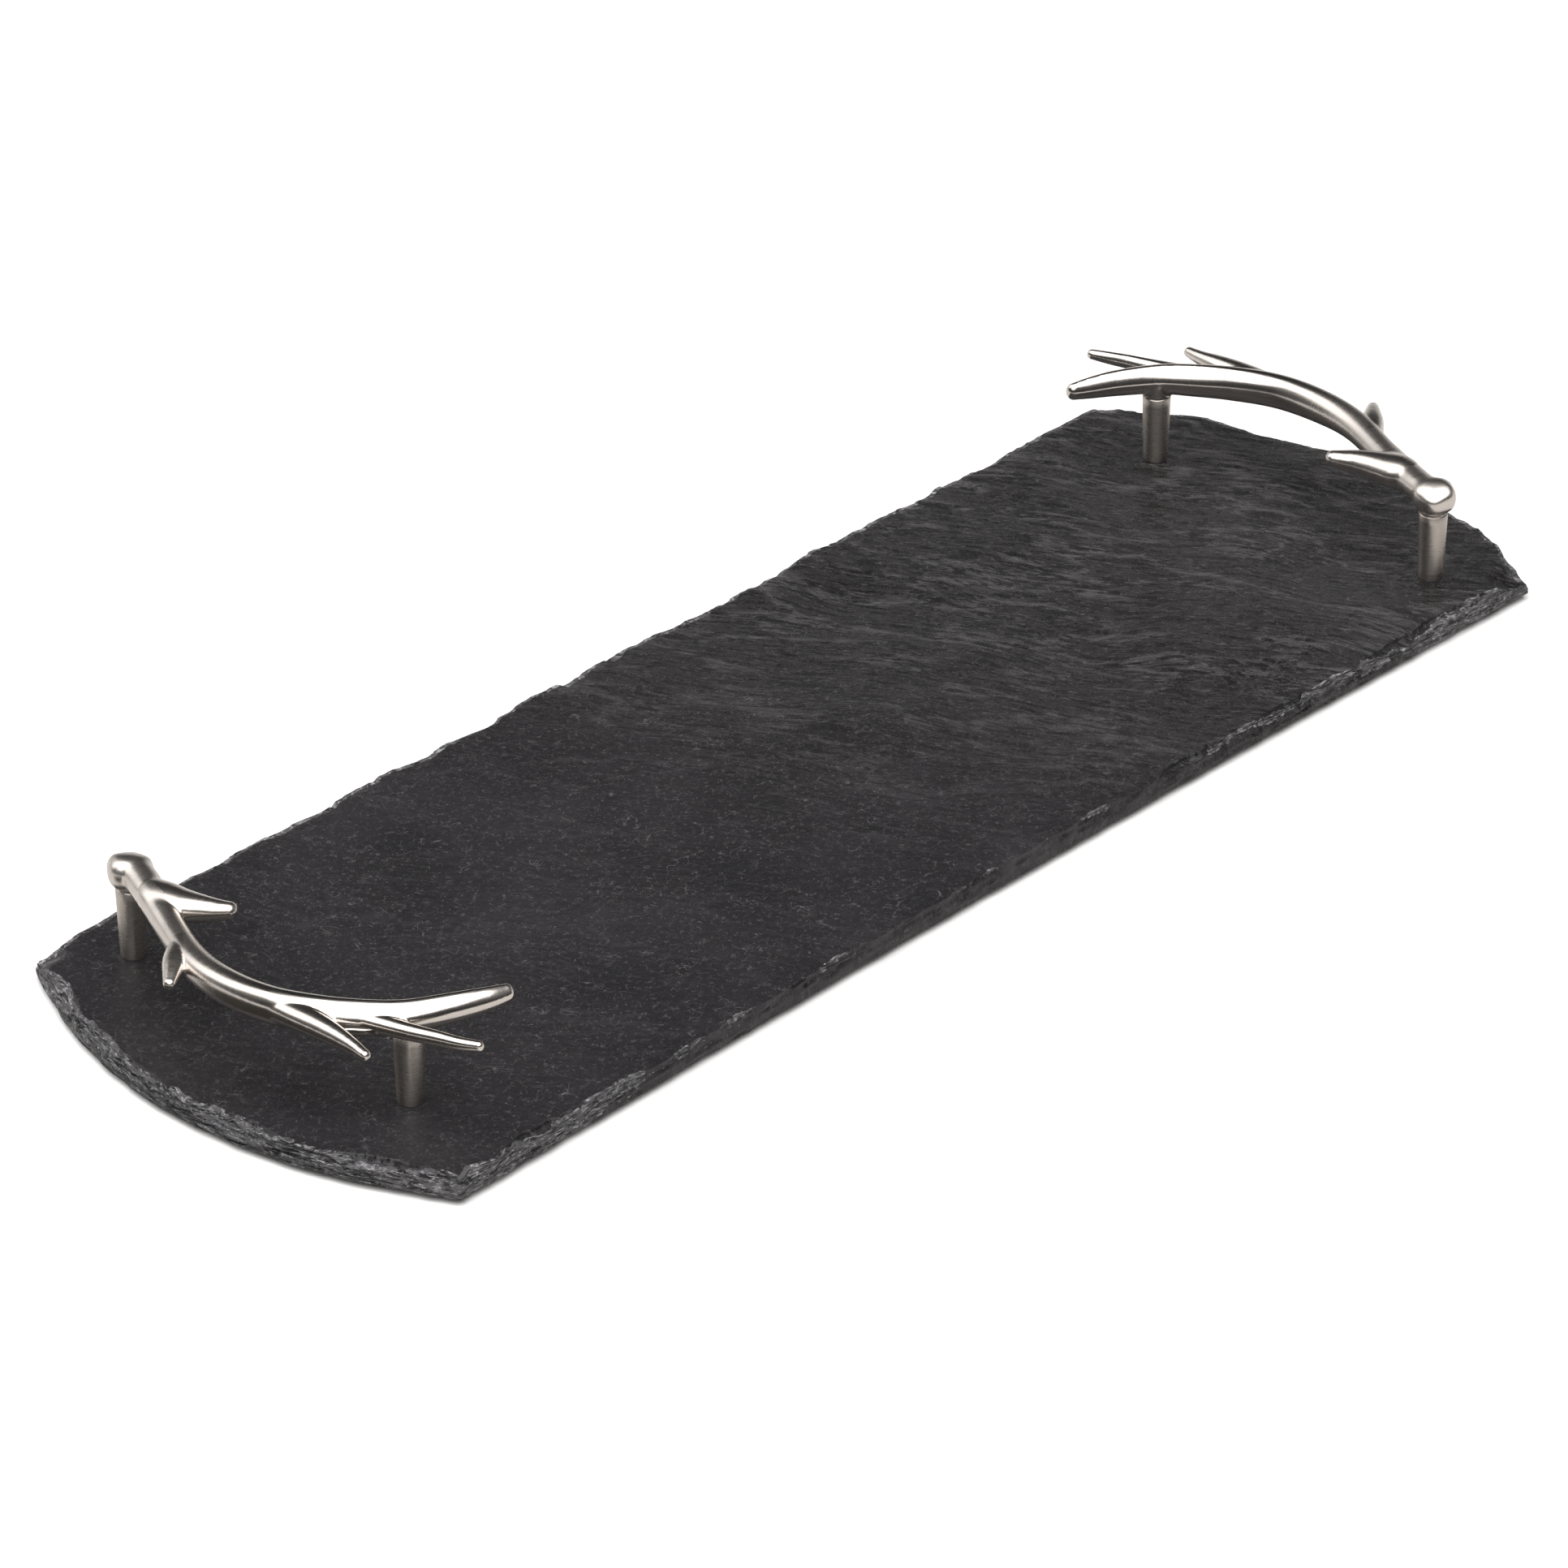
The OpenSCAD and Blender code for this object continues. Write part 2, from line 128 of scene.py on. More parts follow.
def linear_colour(hex_code: str) -> tuple[float, float, float, float]:
    """Turns an sRGB hex colour to linear red, green and blue, with a full alpha.

    Args:
        hex_code: Six hex digits after a hash sign.

    Returns:
        Red, green, blue and alpha.
    """
    shares = [int(hex_code[i : i + 2], 16) / 255 for i in (1, 3, 5)]
    lin = [c / 12.92 if c <= 0.04045 else ((c + 0.055) / 1.055) ** 2.4 for c in shares]
    return lin[0], lin[1], lin[2], 1.0


def add_node(
    tree: bpy.types.NodeTree,
    kind: str,
    settings: dict[str | int, Any] | None = None,
    links: dict[str | int, Source] | None = None,
) -> bpy.types.Node:
    """Adds a shader node.

    Args:
        tree: The node tree that it goes into.
        kind: Its type, without the leading ShaderNode.
        settings: Values by the name of a property, or by the name or number of an input.
        links: What feeds an input: a socket, or a node for the first of its outputs in use.

    Returns:
        The node.
    """
    made = tree.nodes.new("ShaderNode" + kind)
    for name, value in (settings or {}).items():
        if isinstance(name, str) and hasattr(made, name) and name not in made.inputs:
            setattr(made, name, value)
        else:
            made.inputs[name].default_value = value
    for name, source in (links or {}).items():
        if isinstance(source, bpy.types.Node):
            source = next(output for output in source.outputs if output.enabled)
        tree.links.new(source, made.inputs[name])
    return made


def level_line(
    add: NodeAdder, value: Source, level: float, width: float, core: float = 0.0, full: float = 1.0
) -> bpy.types.Node:
    """Draws a line where a value stays at one level, from three nodes.

    Args:
        add: Adds a node to the tree.
        value: The node or socket of the value.
        level: The level.
        width: How far off the level the line ends.
        core: How far off it the line starts to fade.
        full: Its strength in the middle.

    Returns:
        The line's strength, which is 0 beside it.
    """
    off = add("Math", {"operation": "SUBTRACT", 1: level}, {0: value})
    off = add("Math", {"operation": "ABSOLUTE"}, {0: off})
    fade = {"From Min": core, "From Max": width, "To Min": full, "To Max": 0.0}
    return add("MapRange", fade, {"Value": off})


def deselect_all() -> None:
    """Leaves edit mode and deselects every object."""
    if bpy.context.object and bpy.context.object.mode != "OBJECT":
        bpy.ops.object.mode_set(mode="OBJECT")
    bpy.ops.object.select_all(action="DESELECT")


def make_active(piece: bpy.types.Object) -> None:
    """Selects one object alone and makes it the active one.

    Args:
        piece: The object.
    """
    deselect_all()
    piece.select_set(True)
    bpy.context.view_layer.objects.active = piece


def copy_piece(piece: bpy.types.Object) -> bpy.types.Object:
    """Copies an object with a mesh of its own.

    Args:
        piece: The object.

    Returns:
        The copy, in the scene.
    """
    twin = piece.copy()
    twin.data = piece.data.copy()
    bpy.context.scene.collection.objects.link(twin)
    return twin


def points_of(piece: bpy.types.Object) -> np.ndarray:
    """Reads the vertices of a mesh.

    Args:
        piece: The mesh object.

    Returns:
        One row of x, y and z for each.
    """
    flat = np.zeros(len(piece.data.vertices) * 3, np.float32)
    piece.data.vertices.foreach_get("co", flat)
    return flat.reshape(-1, 3).astype(float)


def move_points(piece: bpy.types.Object, points: np.ndarray) -> None:
    """Puts the vertices of a mesh at new places."""
    piece.data.vertices.foreach_set("co", points.astype(np.float32).ravel())
    piece.data.update()


def store(piece: bpy.types.Object, name: str, values: np.ndarray) -> None:
    """Stores one number, or one vector, for each vertex as an attribute.

    Args:
        piece: The mesh object.
        name: The attribute's name.
        values: One row for each vertex.
    """
    kind, field_name = ("FLOAT", "value") if values.ndim == 1 else ("FLOAT_VECTOR", "vector")
    made = piece.data.attributes.new(name, kind, "POINT")
    made.data.foreach_set(field_name, values.astype(np.float32).ravel())


def rest_place(piece: bpy.types.Object) -> None:
    """Puts an object's place, turn and scale into its mesh."""
    make_active(piece)
    bpy.ops.object.transform_apply(location=True, rotation=True, scale=True)


def apply_modifier(piece: bpy.types.Object, kind: str, **settings: Any) -> None:
    """Adds a modifier with its settings and applies it.

    Args:
        piece: The mesh object.
        kind: The modifier's type.
        **settings: Values by the name of a property.
    """
    make_active(piece)
    made = piece.modifiers.new(kind.title(), kind)
    for name, value in settings.items():
        setattr(made, name, value)
    bpy.ops.object.modifier_apply(modifier=made.name)


def cut_away(piece: bpy.types.Object, cutter: bpy.types.Object) -> None:
    """Takes a cutter's shape out of a piece and removes the cutter.

    Args:
        piece: The mesh object.
        cutter: The object that is cut away.
    """
    rest_place(cutter)
    apply_modifier(piece, "BOOLEAN", object=cutter, operation="DIFFERENCE", solver="EXACT")
    bpy.data.objects.remove(cutter)


def drill(
    piece: bpy.types.Object,
    radius: float,
    low: float,
    high: float,
    place: Sequence[float] = (0, 0),
    sides: int = 48,
) -> None:
    """Drills a round hole straight up, in the units of the piece's mesh.

    Args:
        piece: The mesh object.
        radius: The hole's radius.
        low: Height of the drill's lower end.
        high: Height of its upper end.
        place: Middle of the hole in plan.
        sides: How many sides stand for its round.
    """
    deselect_all()
    bpy.ops.mesh.primitive_cylinder_add(
        vertices=sides, radius=radius, depth=high - low, location=(*place, (low + high) / 2)
    )
    cut_away(piece, bpy.context.object)


def columns(x: Numbers, y: Numbers, z: Numbers) -> np.ndarray:
    """Points from their three columns, any of which may be one number."""
    return np.stack(np.broadcast_arrays(x, y, z), 1).astype(float)


def headings(middle: np.ndarray) -> np.ndarray:
    """Unit vectors along a line of points."""
    ways = np.gradient(middle, axis=0)
    return ways / np.linalg.norm(ways, axis=1)[:, None]


def smoothstep(low: float, high: float, values: np.ndarray) -> np.ndarray:
    """Rises smoothly from 0 at low to 1 at high."""
    t = np.clip((values - low) / (high - low), 0, 1)
    return t * t * (3 - 2 * t)


def fractal(points: np.ndarray, size_mm: float, octaves: int, offset: float = 0.0) -> np.ndarray:
    """Fractal noise at many points.

    Args:
        points: Points in millimetres.
        size_mm: Size of the largest forms.
        octaves: How many finer layers are added.
        offset: Shift that gives another pattern.

    Returns:
        Values near 0, mostly from -1 to 1.
    """
    octave_shift = 7.3
    total = np.zeros(len(points))
    for octave in range(octaves):
        share = 0.5**octave
        step = points / (size_mm * share) + offset + octave_shift * octave
        total += share * np.array([noise.noise(Vector(p)) for p in step])
    return total


def dress(piece: bpy.types.Object, material: bpy.types.Material) -> None:
    """Gives a piece its one material."""
    piece.data.materials.clear()
    piece.data.materials.append(material)


def finish_piece(
    piece: bpy.types.Object, sharp_deg: float, material: bpy.types.Material, node: str
) -> None:
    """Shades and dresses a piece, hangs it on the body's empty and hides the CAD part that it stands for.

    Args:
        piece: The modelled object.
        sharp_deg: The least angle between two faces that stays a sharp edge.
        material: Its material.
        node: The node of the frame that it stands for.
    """
    make_active(piece)
    bpy.ops.object.shade_smooth_by_angle(angle=math.radians(sharp_deg))
    dress(piece, material)
    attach(piece, BODY)
    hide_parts(node)


# Finishes


class Finish:
    """What every finish shares: a material with its title and nodes of its own."""

    title: str

    def surface(self, add: NodeAdder) -> bpy.types.Node:
        """Adds the finish's nodes and returns its shader."""
        raise NotImplementedError

    def build(self) -> bpy.types.Material:
        """Makes the material.

        Returns:
            The material.
        """
        material = bpy.data.materials.new(self.title)
        material.use_nodes = True
        material.node_tree.nodes.clear()
        add = partial(add_node, material.node_tree)
        add("OutputMaterial", {}, {"Surface": self.surface(add)})
        return material


@dataclass(frozen=True)
class CleftSlate(Finish):
    """Riven slate: a dark, faintly glossy cleft face with fine pale fibres, painted shade and highlights on
    its ripples, and paler broken edges.

    It reads the slab's attributes broken, ripple and scar.
    """

    title: str = "cleft_slate"
    face: str = "#302e30"
    vein: str = "#201f21"
    # Pale colour of the fibres, and of the painted highlights along the wave crests
    fibre_and_highlight: str = "#8c8a8c"
    # Painted shade in the ripples' hollows, and painted light on their crests
    hollow: str = "#0c0b0c"
    crest_light: str = "#242224"
    rock: str = "#565557"
    broken: str = "#b9b8bb"
    crack: str = "#0c0b0d"
    roughness: float = 0.29
    ior: float = 1.38
    fibre_mm: float = 4.4
    # Real fibres are hair thin, and these are two or three times as wide so that they show. Each set:
    # shift of the pattern, share of the size, and width on the noise's scale
    fibre_sets: Sequence[tuple[float, float, float]] = (
        (0.0, 1.0, 0.013),
        (0.37, 0.6, 0.016),
        (0.71, 2.3, 0.007),
    )
    fleck_mm: float = 2.4
    mottle_mm: float = 55.0
    grit_mm: float = 0.8
    grain_turn_deg: float = 60.0
    drift_mm: float = 85.0
    warp_mm: float = 36.0
    streak_mm: float = 14.0
    streak_width_mm: float = 2.3
    brink_mm: float = 90.0
    brink_width_mm: float = 22.0
    layer_mm: float = 7.0
    lamina_mm: float = 0.9
    bruise_mm: float = 2.2
    cleft_mm: float = 6.0
    face_depth_mm: float = 0.11
    edge_depth_mm: float = 0.9

    def hair(self, add: NodeAdder, place: Source, ripple: Source) -> bpy.types.Node:
        """Adds the pale fibres: thin level lines of a noise, cut into short curls by a second one.

        Args:
            add: Adds a node to the tree.
            place: The object's coordinates.
            ripple: Share of the ripple marks, where the fibres fade.

        Returns:
            The fibres' strength.
        """
        hair = None
        for shift, share, width in self.fibre_sets:
            size = self.fibre_mm * share
            moved = add("Mapping", {"Location": (shift, shift * 2, 0)}, {"Vector": place})
            form = {"Scale": 1 / (size * MM), "Detail": 2.5, "Roughness": 0.55, "Distortion": 0.7}
            line = level_line(add, add("TexNoise", form, {"Vector": moved}), 0.5, width)
            cut = add("TexNoise", {"Scale": 1 / (size * 0.75 * MM), "Detail": 1.0}, {"Vector": moved})
            cut = add("MapRange", {"From Min": 0.5, "From Max": 0.7}, {"Value": cut})
            curls = add("Math", {"operation": "MULTIPLY"}, {0: line, 1: cut})
            hair = add("Math", {"operation": "MAXIMUM"}, {0: hair, 1: curls}) if hair else curls
        fade = {"From Min": 0.3, "From Max": 0.9, "To Min": 1.0, "To Max": 0.45}
        calm = add("MapRange", fade, {"Value": ripple})
        return add("Math", {"operation": "MULTIPLY"}, {0: hair, 1: calm})

    def flecks(self, add: NodeAdder, place: Source) -> bpy.types.Node:
        """Adds rare mineral flecks, a few tenths of a millimetre across.

        Args:
            add: Adds a node to the tree.
            place: The object's coordinates.

        Returns:
            The flecks' strength.
        """
        cells = add("TexVoronoi", {"Scale": 1 / (self.fleck_mm * MM)}, {"Vector": place})
        spot = {"From Min": 0.06, "From Max": 0.14, "To Min": 1.0, "To Max": 0.0}
        fleck = add("MapRange", spot, {"Value": cells.outputs["Distance"]})
        rare = add("SeparateColor", {}, {"Color": cells.outputs["Color"]})
        rare = add("MapRange", {"From Min": 0.55, "From Max": 0.8}, {"Value": rare})
        return add("Math", {"operation": "MULTIPLY"}, {0: fleck, 1: rare})

    def along_grain(self, add: NodeAdder, place: Source) -> bpy.types.Node:
        """Turns the coordinates to the grain, which wanders slowly over the face.

        Args:
            add: Adds a node to the tree.
            place: The object's coordinates.

        Returns:
            Coordinates along the grain and across it.
        """
        form = {"Scale": 1 / (self.drift_mm * MM), "Detail": 1.0, "Roughness": 0.4}
        drift = add("TexNoise", form, {"Vector": place})
        drift = add("VectorMath", {"operation": "SUBTRACT", 1: (0.5, 0.5, 0.5)}, {0: drift.outputs["Color"]})
        drift = add("VectorMath", {"operation": "SCALE", "Scale": self.warp_mm * MM}, {0: drift})
        drift = add("VectorMath", {"operation": "ADD"}, {0: drift, 1: place})
        turn = (0, 0, math.radians(-self.grain_turn_deg))
        return add("Mapping", {"vector_type": "TEXTURE", "Rotation": turn}, {"Vector": drift})

    def drawn_out(
        self,
        add: NodeAdder,
        way: Source,
        long_mm: float,
        wide_mm: float,
        detail: float,
        roughness: float,
        warp: float,
    ) -> bpy.types.Node:
        """Adds a noise that is drawn out along the grain.

        Args:
            add: Adds a node to the tree.
            way: Coordinates along the grain.
            long_mm: Size of its forms along the grain.
            wide_mm: Their size across it.
            detail: How many finer layers it has.
            roughness: Their strength.
            warp: How much its forms are distorted.

        Returns:
            The noise.
        """
        wide = 1 / (wide_mm * MM)
        way = add("Mapping", {"Scale": (1 / (long_mm * MM), wide, wide)}, {"Vector": way})
        form = {"Scale": 1.0, "Detail": detail, "Roughness": roughness, "Distortion": warp}
        return add("TexNoise", form, {"Vector": way})

    def edge(self, add: NodeAdder, place: Source) -> tuple[bpy.types.Node, ...]:
        """Adds the broken edge: pale bruised stone with dark laminae between its layers.

        Args:
            add: Adds a node to the tree.
            place: The object's coordinates.

        Returns:
            Its colour, its height and the noise of its bruises.
        """
        wide = 1 / (self.layer_mm * MM)
        way = add("Mapping", {"Scale": (wide, wide, 1 / (self.lamina_mm * MM))}, {"Vector": place})
        form = {"Scale": 1.0, "Detail": 5.0, "Roughness": 0.65, "Distortion": 0.6}
        layers = add("TexNoise", form, {"Vector": way})
        form = {"Scale": 1 / (self.bruise_mm * MM), "Detail": 6.0, "Roughness": 0.75, "Distortion": 0.4}
        bruise = add("TexNoise", form, {"Vector": place})
        form = {"Scale": 1.7, "Detail": 4.0, "Roughness": 0.7, "Distortion": 1.2}
        splinter = add("TexNoise", form, {"Vector": way})

        layer_tone = add("MapRange", {"From Min": 0.42, "From Max": 0.54}, {"Value": layers})
        bruise_tone = add("MapRange", {"From Min": 0.38, "From Max": 0.6}, {"Value": bruise})
        bright = add("MapRange", {"From Min": 0.5, "From Max": 0.62}, {"Value": splinter})
        bright = add("Math", {"operation": "MULTIPLY"}, {0: bright, 1: bruise_tone})
        tones = {COLOUR_A: linear_colour(self.crack), COLOUR_B: linear_colour(self.rock)}
        colour = add("Mix", {"data_type": "RGBA", **tones}, {FACTOR: layer_tone})
        pale = {"data_type": "RGBA", COLOUR_B: linear_colour(self.broken)}
        colour = add("Mix", pale, {FACTOR: bright, COLOUR_A: colour})

        height = add("Math", {"operation": "ADD"}, {0: bruise, 1: layers})
        height = add("Math", {"operation": "MULTIPLY_ADD", 1: 0.6}, {0: splinter, 2: height})
        height = add("Math", {"operation": "SUBTRACT", 1: 1.6}, {0: height})
        return colour, height, bruise

    def surface(self, add: NodeAdder) -> bpy.types.Node:
        """Adds the slate's nodes: the cleft face, its waves with their painted shade and highlights, its
        marks, and the broken edge.

        Args:
            add: Adds a node to the tree.

        Returns:
            The shader.
        """
        place = add("TexCoord").outputs["Object"]
        broken, ripple, scar = (
            add("Attribute", {"attribute_name": name}).outputs["Fac"] for name in ("broken", "ripple", "scar")
        )
        hair = self.hair(add, place, ripple)
        marks = add("Math", {"operation": "MAXIMUM"}, {0: hair, 1: self.flecks(add, place)})
        grain = self.along_grain(add, place)
        streak = self.drawn_out(add, grain, self.streak_mm, self.streak_width_mm, 5.0, 0.6, 0.5)
        fine = self.drawn_out(add, grain, self.streak_mm / 3.2, self.streak_width_mm / 3.4, 4.0, 0.6, 0.3)
        mottle = {"Scale": 1 / (self.mottle_mm * MM), "Detail": 5.0, "Roughness": 0.6}
        mottle = add("TexNoise", mottle, {"Vector": place})
        grit = {"Scale": 1 / (self.grit_mm * MM), "Detail": 3.0, "Roughness": 0.7}
        grit = add("TexNoise", grit, {"Vector": place})

        # The calm face, and where the ripples are, painted shade in the hollows and painted light on the
        # crests
        tone = add("MapRange", {"From Min": 0.3, "From Max": 0.75}, {"Value": mottle})
        tones = {COLOUR_A: linear_colour(self.vein), COLOUR_B: linear_colour(self.face)}
        face = add("Mix", {"data_type": "RGBA", **tones}, {FACTOR: tone})
        wave_light = add("Math", {"operation": "MULTIPLY_ADD", 1: 0.5}, {0: fine, 2: streak})
        wave_light = add("MapRange", {"From Min": 0.64, "From Max": 0.89}, {"Value": wave_light})
        tones = {COLOUR_A: linear_colour(self.hollow), COLOUR_B: linear_colour(self.crest_light)}
        waves = add("Mix", {"data_type": "RGBA", **tones}, {FACTOR: wave_light})
        face = add("Mix", {"data_type": "RGBA"}, {FACTOR: ripple, COLOUR_A: face, COLOUR_B: waves})

        # Thin painted highlights run along the wave crests, and now and then a long pale brink
        crest_light = level_line(add, streak, 0.5, 0.022)
        part = add("MapRange", {"From Min": 0.46, "From Max": 0.58}, {"Value": fine})
        brink = self.drawn_out(add, grain, self.brink_mm, self.brink_width_mm, 3.0, 0.55, 0.4)
        brink = level_line(add, brink, 0.52, 0.045)
        pale = []
        for line, share in ((crest_light, part), (brink, wave_light)):
            line = add("Math", {"operation": "MULTIPLY"}, {0: line, 1: share})
            pale.append(add("Math", {"operation": "MULTIPLY"}, {0: line, 1: ripple}))
        crest_highlights_and_brinks = add("Math", {"operation": "MULTIPLY", 1: 0.3}, {0: pale[0]})
        crest_highlights_and_brinks = add("Math", {"operation": "MULTIPLY_ADD", 1: 0.2}, {0: pale[1], 2: crest_highlights_and_brinks})
        faint_marks = add("Math", {"operation": "MULTIPLY", 1: 0.4}, {0: marks})
        # Where a flake came away there is a dark line along its brink
        brim = level_line(add, scar, 0.35, 0.34, core=0.12, full=0.85)
        # The painted crest highlights, the brinks and the fibres take the pale colour, and the brims the dark
        # one
        for share, colour in ((crest_highlights_and_brinks, self.fibre_and_highlight), (faint_marks, self.fibre_and_highlight), (brim, self.crack)):
            paint = {"data_type": "RGBA", COLOUR_B: linear_colour(colour)}
            face = add("Mix", paint, {FACTOR: share, COLOUR_A: face})

        # The edge starts on a ragged line, which its bruises draw
        edge, rock, bruise = self.edge(add, place)
        rim = add("Math", {"operation": "MULTIPLY", 1: 0.5}, {0: bruise})
        rim = add("Math", {"operation": "ADD"}, {0: rim, 1: broken})
        rim = add("MapRange", {"From Min": 0.72, "From Max": 0.78}, {"Value": rim})
        colour = add("Mix", {"data_type": "RGBA"}, {FACTOR: rim, COLOUR_A: face, COLOUR_B: edge})

        # Relief: fibres stand a few hundredths of a millimetre proud, and the broken edge is coarse
        along = add("Math", {"operation": "MULTIPLY"}, {0: fine, 1: ripple})
        swell = add("Math", {"operation": "MULTIPLY"}, {0: streak, 1: ripple})
        cleft = {"Scale": 1 / (self.cleft_mm * MM), "Detail": 8.0, "Roughness": 0.68}
        cleft = add("TexNoise", cleft, {"Vector": place})
        height = add("Math", {"operation": "MULTIPLY", 1: 0.35}, {0: marks})
        for form, share in ((grit, 0.55), (along, 2.4), (swell, 6.2), (cleft, 2.6)):
            height = add("Math", {"operation": "MULTIPLY_ADD", 1: share}, {0: form, 2: height})
        face_bump = add("Bump", {"Strength": 1.0, "Distance": self.face_depth_mm * MM}, {"Height": height})
        rock = add("Math", {"operation": "MULTIPLY"}, {0: rock, 1: rim})
        bump = {"Strength": 0.9, "Distance": self.edge_depth_mm * MM}
        bump = add("Bump", bump, {"Height": rock, "Normal": face_bump})

        least, most = self.roughness - 0.04, self.roughness + 0.05
        dull = add(
            "MapRange", {"From Min": 0.3, "From Max": 0.7, "To Min": least, "To Max": most}, {"Value": grit}
        )
        for where, more in ((rim, 0.3), (ripple, -0.04)):
            dull = add("Math", {"operation": "MULTIPLY_ADD", 1: more}, {0: where, 2: dull})
        inputs = {"Base Color": colour, "Roughness": dull, "Normal": bump}
        return add("BsdfPrincipled", {"IOR": self.ior}, inputs)


@dataclass(frozen=True)
class BrushedNickel(Finish):
    """Cast alloy, satin brushed across its limbs and nickel plated: a warm grey, near mirror.

    It reads the castings' attributes brush, the run and section of a limb, and satin.
    """

    title: str = "brushed_nickel"
    colour: str = "#d6d0ca"
    shade: str = "#cdc6c0"
    roughness: float = 0.24
    mirror: float = 0.05
    # Real strokes are a few hundredths of a millimetre wide: these are as coarse as they need to show
    stroke_mm: float = 0.3
    stroke_length_mm: float = 6.0
    stroke_depth_mm: float = 0.0012
    wave_mm: float = 6.0
    wave_depth_mm: float = 0.05

    def surface(self, add: NodeAdder) -> bpy.types.Node:
        """Adds the castings' nodes.

        Args:
            add: Adds a node to the tree.

        Returns:
            The shader.
        """
        brush = add("Attribute", {"attribute_name": "brush"}).outputs["Vector"]
        satin = add("Attribute", {"attribute_name": "satin"}).outputs["Fac"]
        place = add("TexCoord").outputs["Object"]
        long_way = 1 / self.stroke_length_mm
        across = add("Mapping", {"Scale": (1 / self.stroke_mm, long_way, long_way)}, {"Vector": brush})
        strokes = add("TexNoise", {"Scale": 1.0, "Detail": 3.0, "Roughness": 0.6}, {"Vector": across})
        cast = add("TexNoise", {"Scale": 1 / (self.wave_mm * MM), "Detail": 3.0}, {"Vector": place})
        height = add("Math", {"operation": "MULTIPLY"}, {0: strokes, 1: satin})
        bump = add("Bump", {"Strength": 1.0, "Distance": self.stroke_depth_mm * MM}, {"Height": height})
        bump = add(
            "Bump", {"Strength": 1.0, "Distance": self.wave_depth_mm * MM}, {"Height": cast, "Normal": bump}
        )
        spread = {"From Min": 0.3, "From Max": 0.7, "To Min": -0.03, "To Max": 0.05}
        rough = add("MapRange", spread, {"Value": strokes})
        rough = add("Math", {"operation": "MULTIPLY_ADD", 2: self.mirror}, {0: rough, 1: satin})
        rough = add("Math", {"operation": "MULTIPLY_ADD", 1: self.roughness}, {0: satin, 2: rough})
        tone = add("MapRange", {"From Min": 0.3, "From Max": 0.7}, {"Value": strokes})
        tones = {COLOUR_A: linear_colour(self.shade), COLOUR_B: linear_colour(self.colour)}
        colour = add("Mix", {"data_type": "RGBA", **tones}, {FACTOR: tone})
        inputs = {"Base Color": colour, "Roughness": rough, "Normal": bump}
        return add("BsdfPrincipled", {"Metallic": 1.0}, inputs)


@dataclass(frozen=True)
class TurnedNickel(Finish):
    """Turned and nickel plated posts: fine rings from the lathe draw the light out along the post."""

    title: str = "turned_nickel"
    colour: str = "#c2bbb4"
    shade: str = "#b0a9a2"
    # Real rings are a few hundredths of a millimetre apart: these are as coarse as they need to show
    ring_mm: float = 0.22
    ring_drift_mm: float = 14.0
    ring_depth_mm: float = 0.0006
    roughness: float = 0.28
    spread: float = 0.02

    def surface(self, add: NodeAdder) -> bpy.types.Node:
        """Adds the posts' nodes.

        Args:
            add: Adds a node to the tree.

        Returns:
            The shader.
        """
        place = add("TexCoord").outputs["Object"]
        wide = 1 / (self.ring_drift_mm * MM)
        way = add("Mapping", {"Scale": (wide, wide, 1 / (self.ring_mm * MM))}, {"Vector": place})
        rings = add("TexNoise", {"Scale": 1.0, "Detail": 3.0, "Roughness": 0.6}, {"Vector": way})
        bump = add("Bump", {"Strength": 1.0, "Distance": self.ring_depth_mm * MM}, {"Height": rings})
        least, most = self.roughness - self.spread, self.roughness + self.spread
        rough = add(
            "MapRange", {"From Min": 0.3, "From Max": 0.7, "To Min": least, "To Max": most}, {"Value": rings}
        )
        tones = {COLOUR_A: linear_colour(self.shade), COLOUR_B: linear_colour(self.colour)}
        colour = add("Mix", {"data_type": "RGBA", **tones}, {FACTOR: rings})
        gloss = {"Metallic": 1.0, "Anisotropic": 0.9, "Anisotropic Rotation": 0.25}
        return add("BsdfPrincipled", gloss, {"Base Color": colour, "Roughness": rough, "Normal": bump})


@dataclass(frozen=True)
class ZincSteel(Finish):
    """Zinc plated steel screws and washers: bright, faintly blue and lightly clouded."""

    title: str = "zinc_plated_steel"
    colour: str = "#b9bcc0"
    shade: str = "#9da0a4"
    cloud_mm: float = 1.6
    cloud_depth_mm: float = 0.02
    roughness: float = 0.28
    spread: float = 0.08

    def surface(self, add: NodeAdder) -> bpy.types.Node:
        """Adds the fasteners' nodes.

        Args:
            add: Adds a node to the tree.

        Returns:
            The shader.
        """
        place = add("TexCoord").outputs["Object"]
        cloud = add("TexNoise", {"Scale": 1 / (self.cloud_mm * MM), "Detail": 4.0}, {"Vector": place})
        least, most = self.roughness - self.spread, self.roughness + self.spread
        rough = add(
            "MapRange", {"From Min": 0.3, "From Max": 0.7, "To Min": least, "To Max": most}, {"Value": cloud}
        )
        tones = {COLOUR_A: linear_colour(self.shade), COLOUR_B: linear_colour(self.colour)}
        colour = add("Mix", {"data_type": "RGBA", **tones}, {FACTOR: cloud})
        bump = add("Bump", {"Strength": 0.5, "Distance": self.cloud_depth_mm * MM}, {"Height": cloud})
        inputs = {"Base Color": colour, "Roughness": rough, "Normal": bump}
        return add("BsdfPrincipled", {"Metallic": 1.0}, inputs)


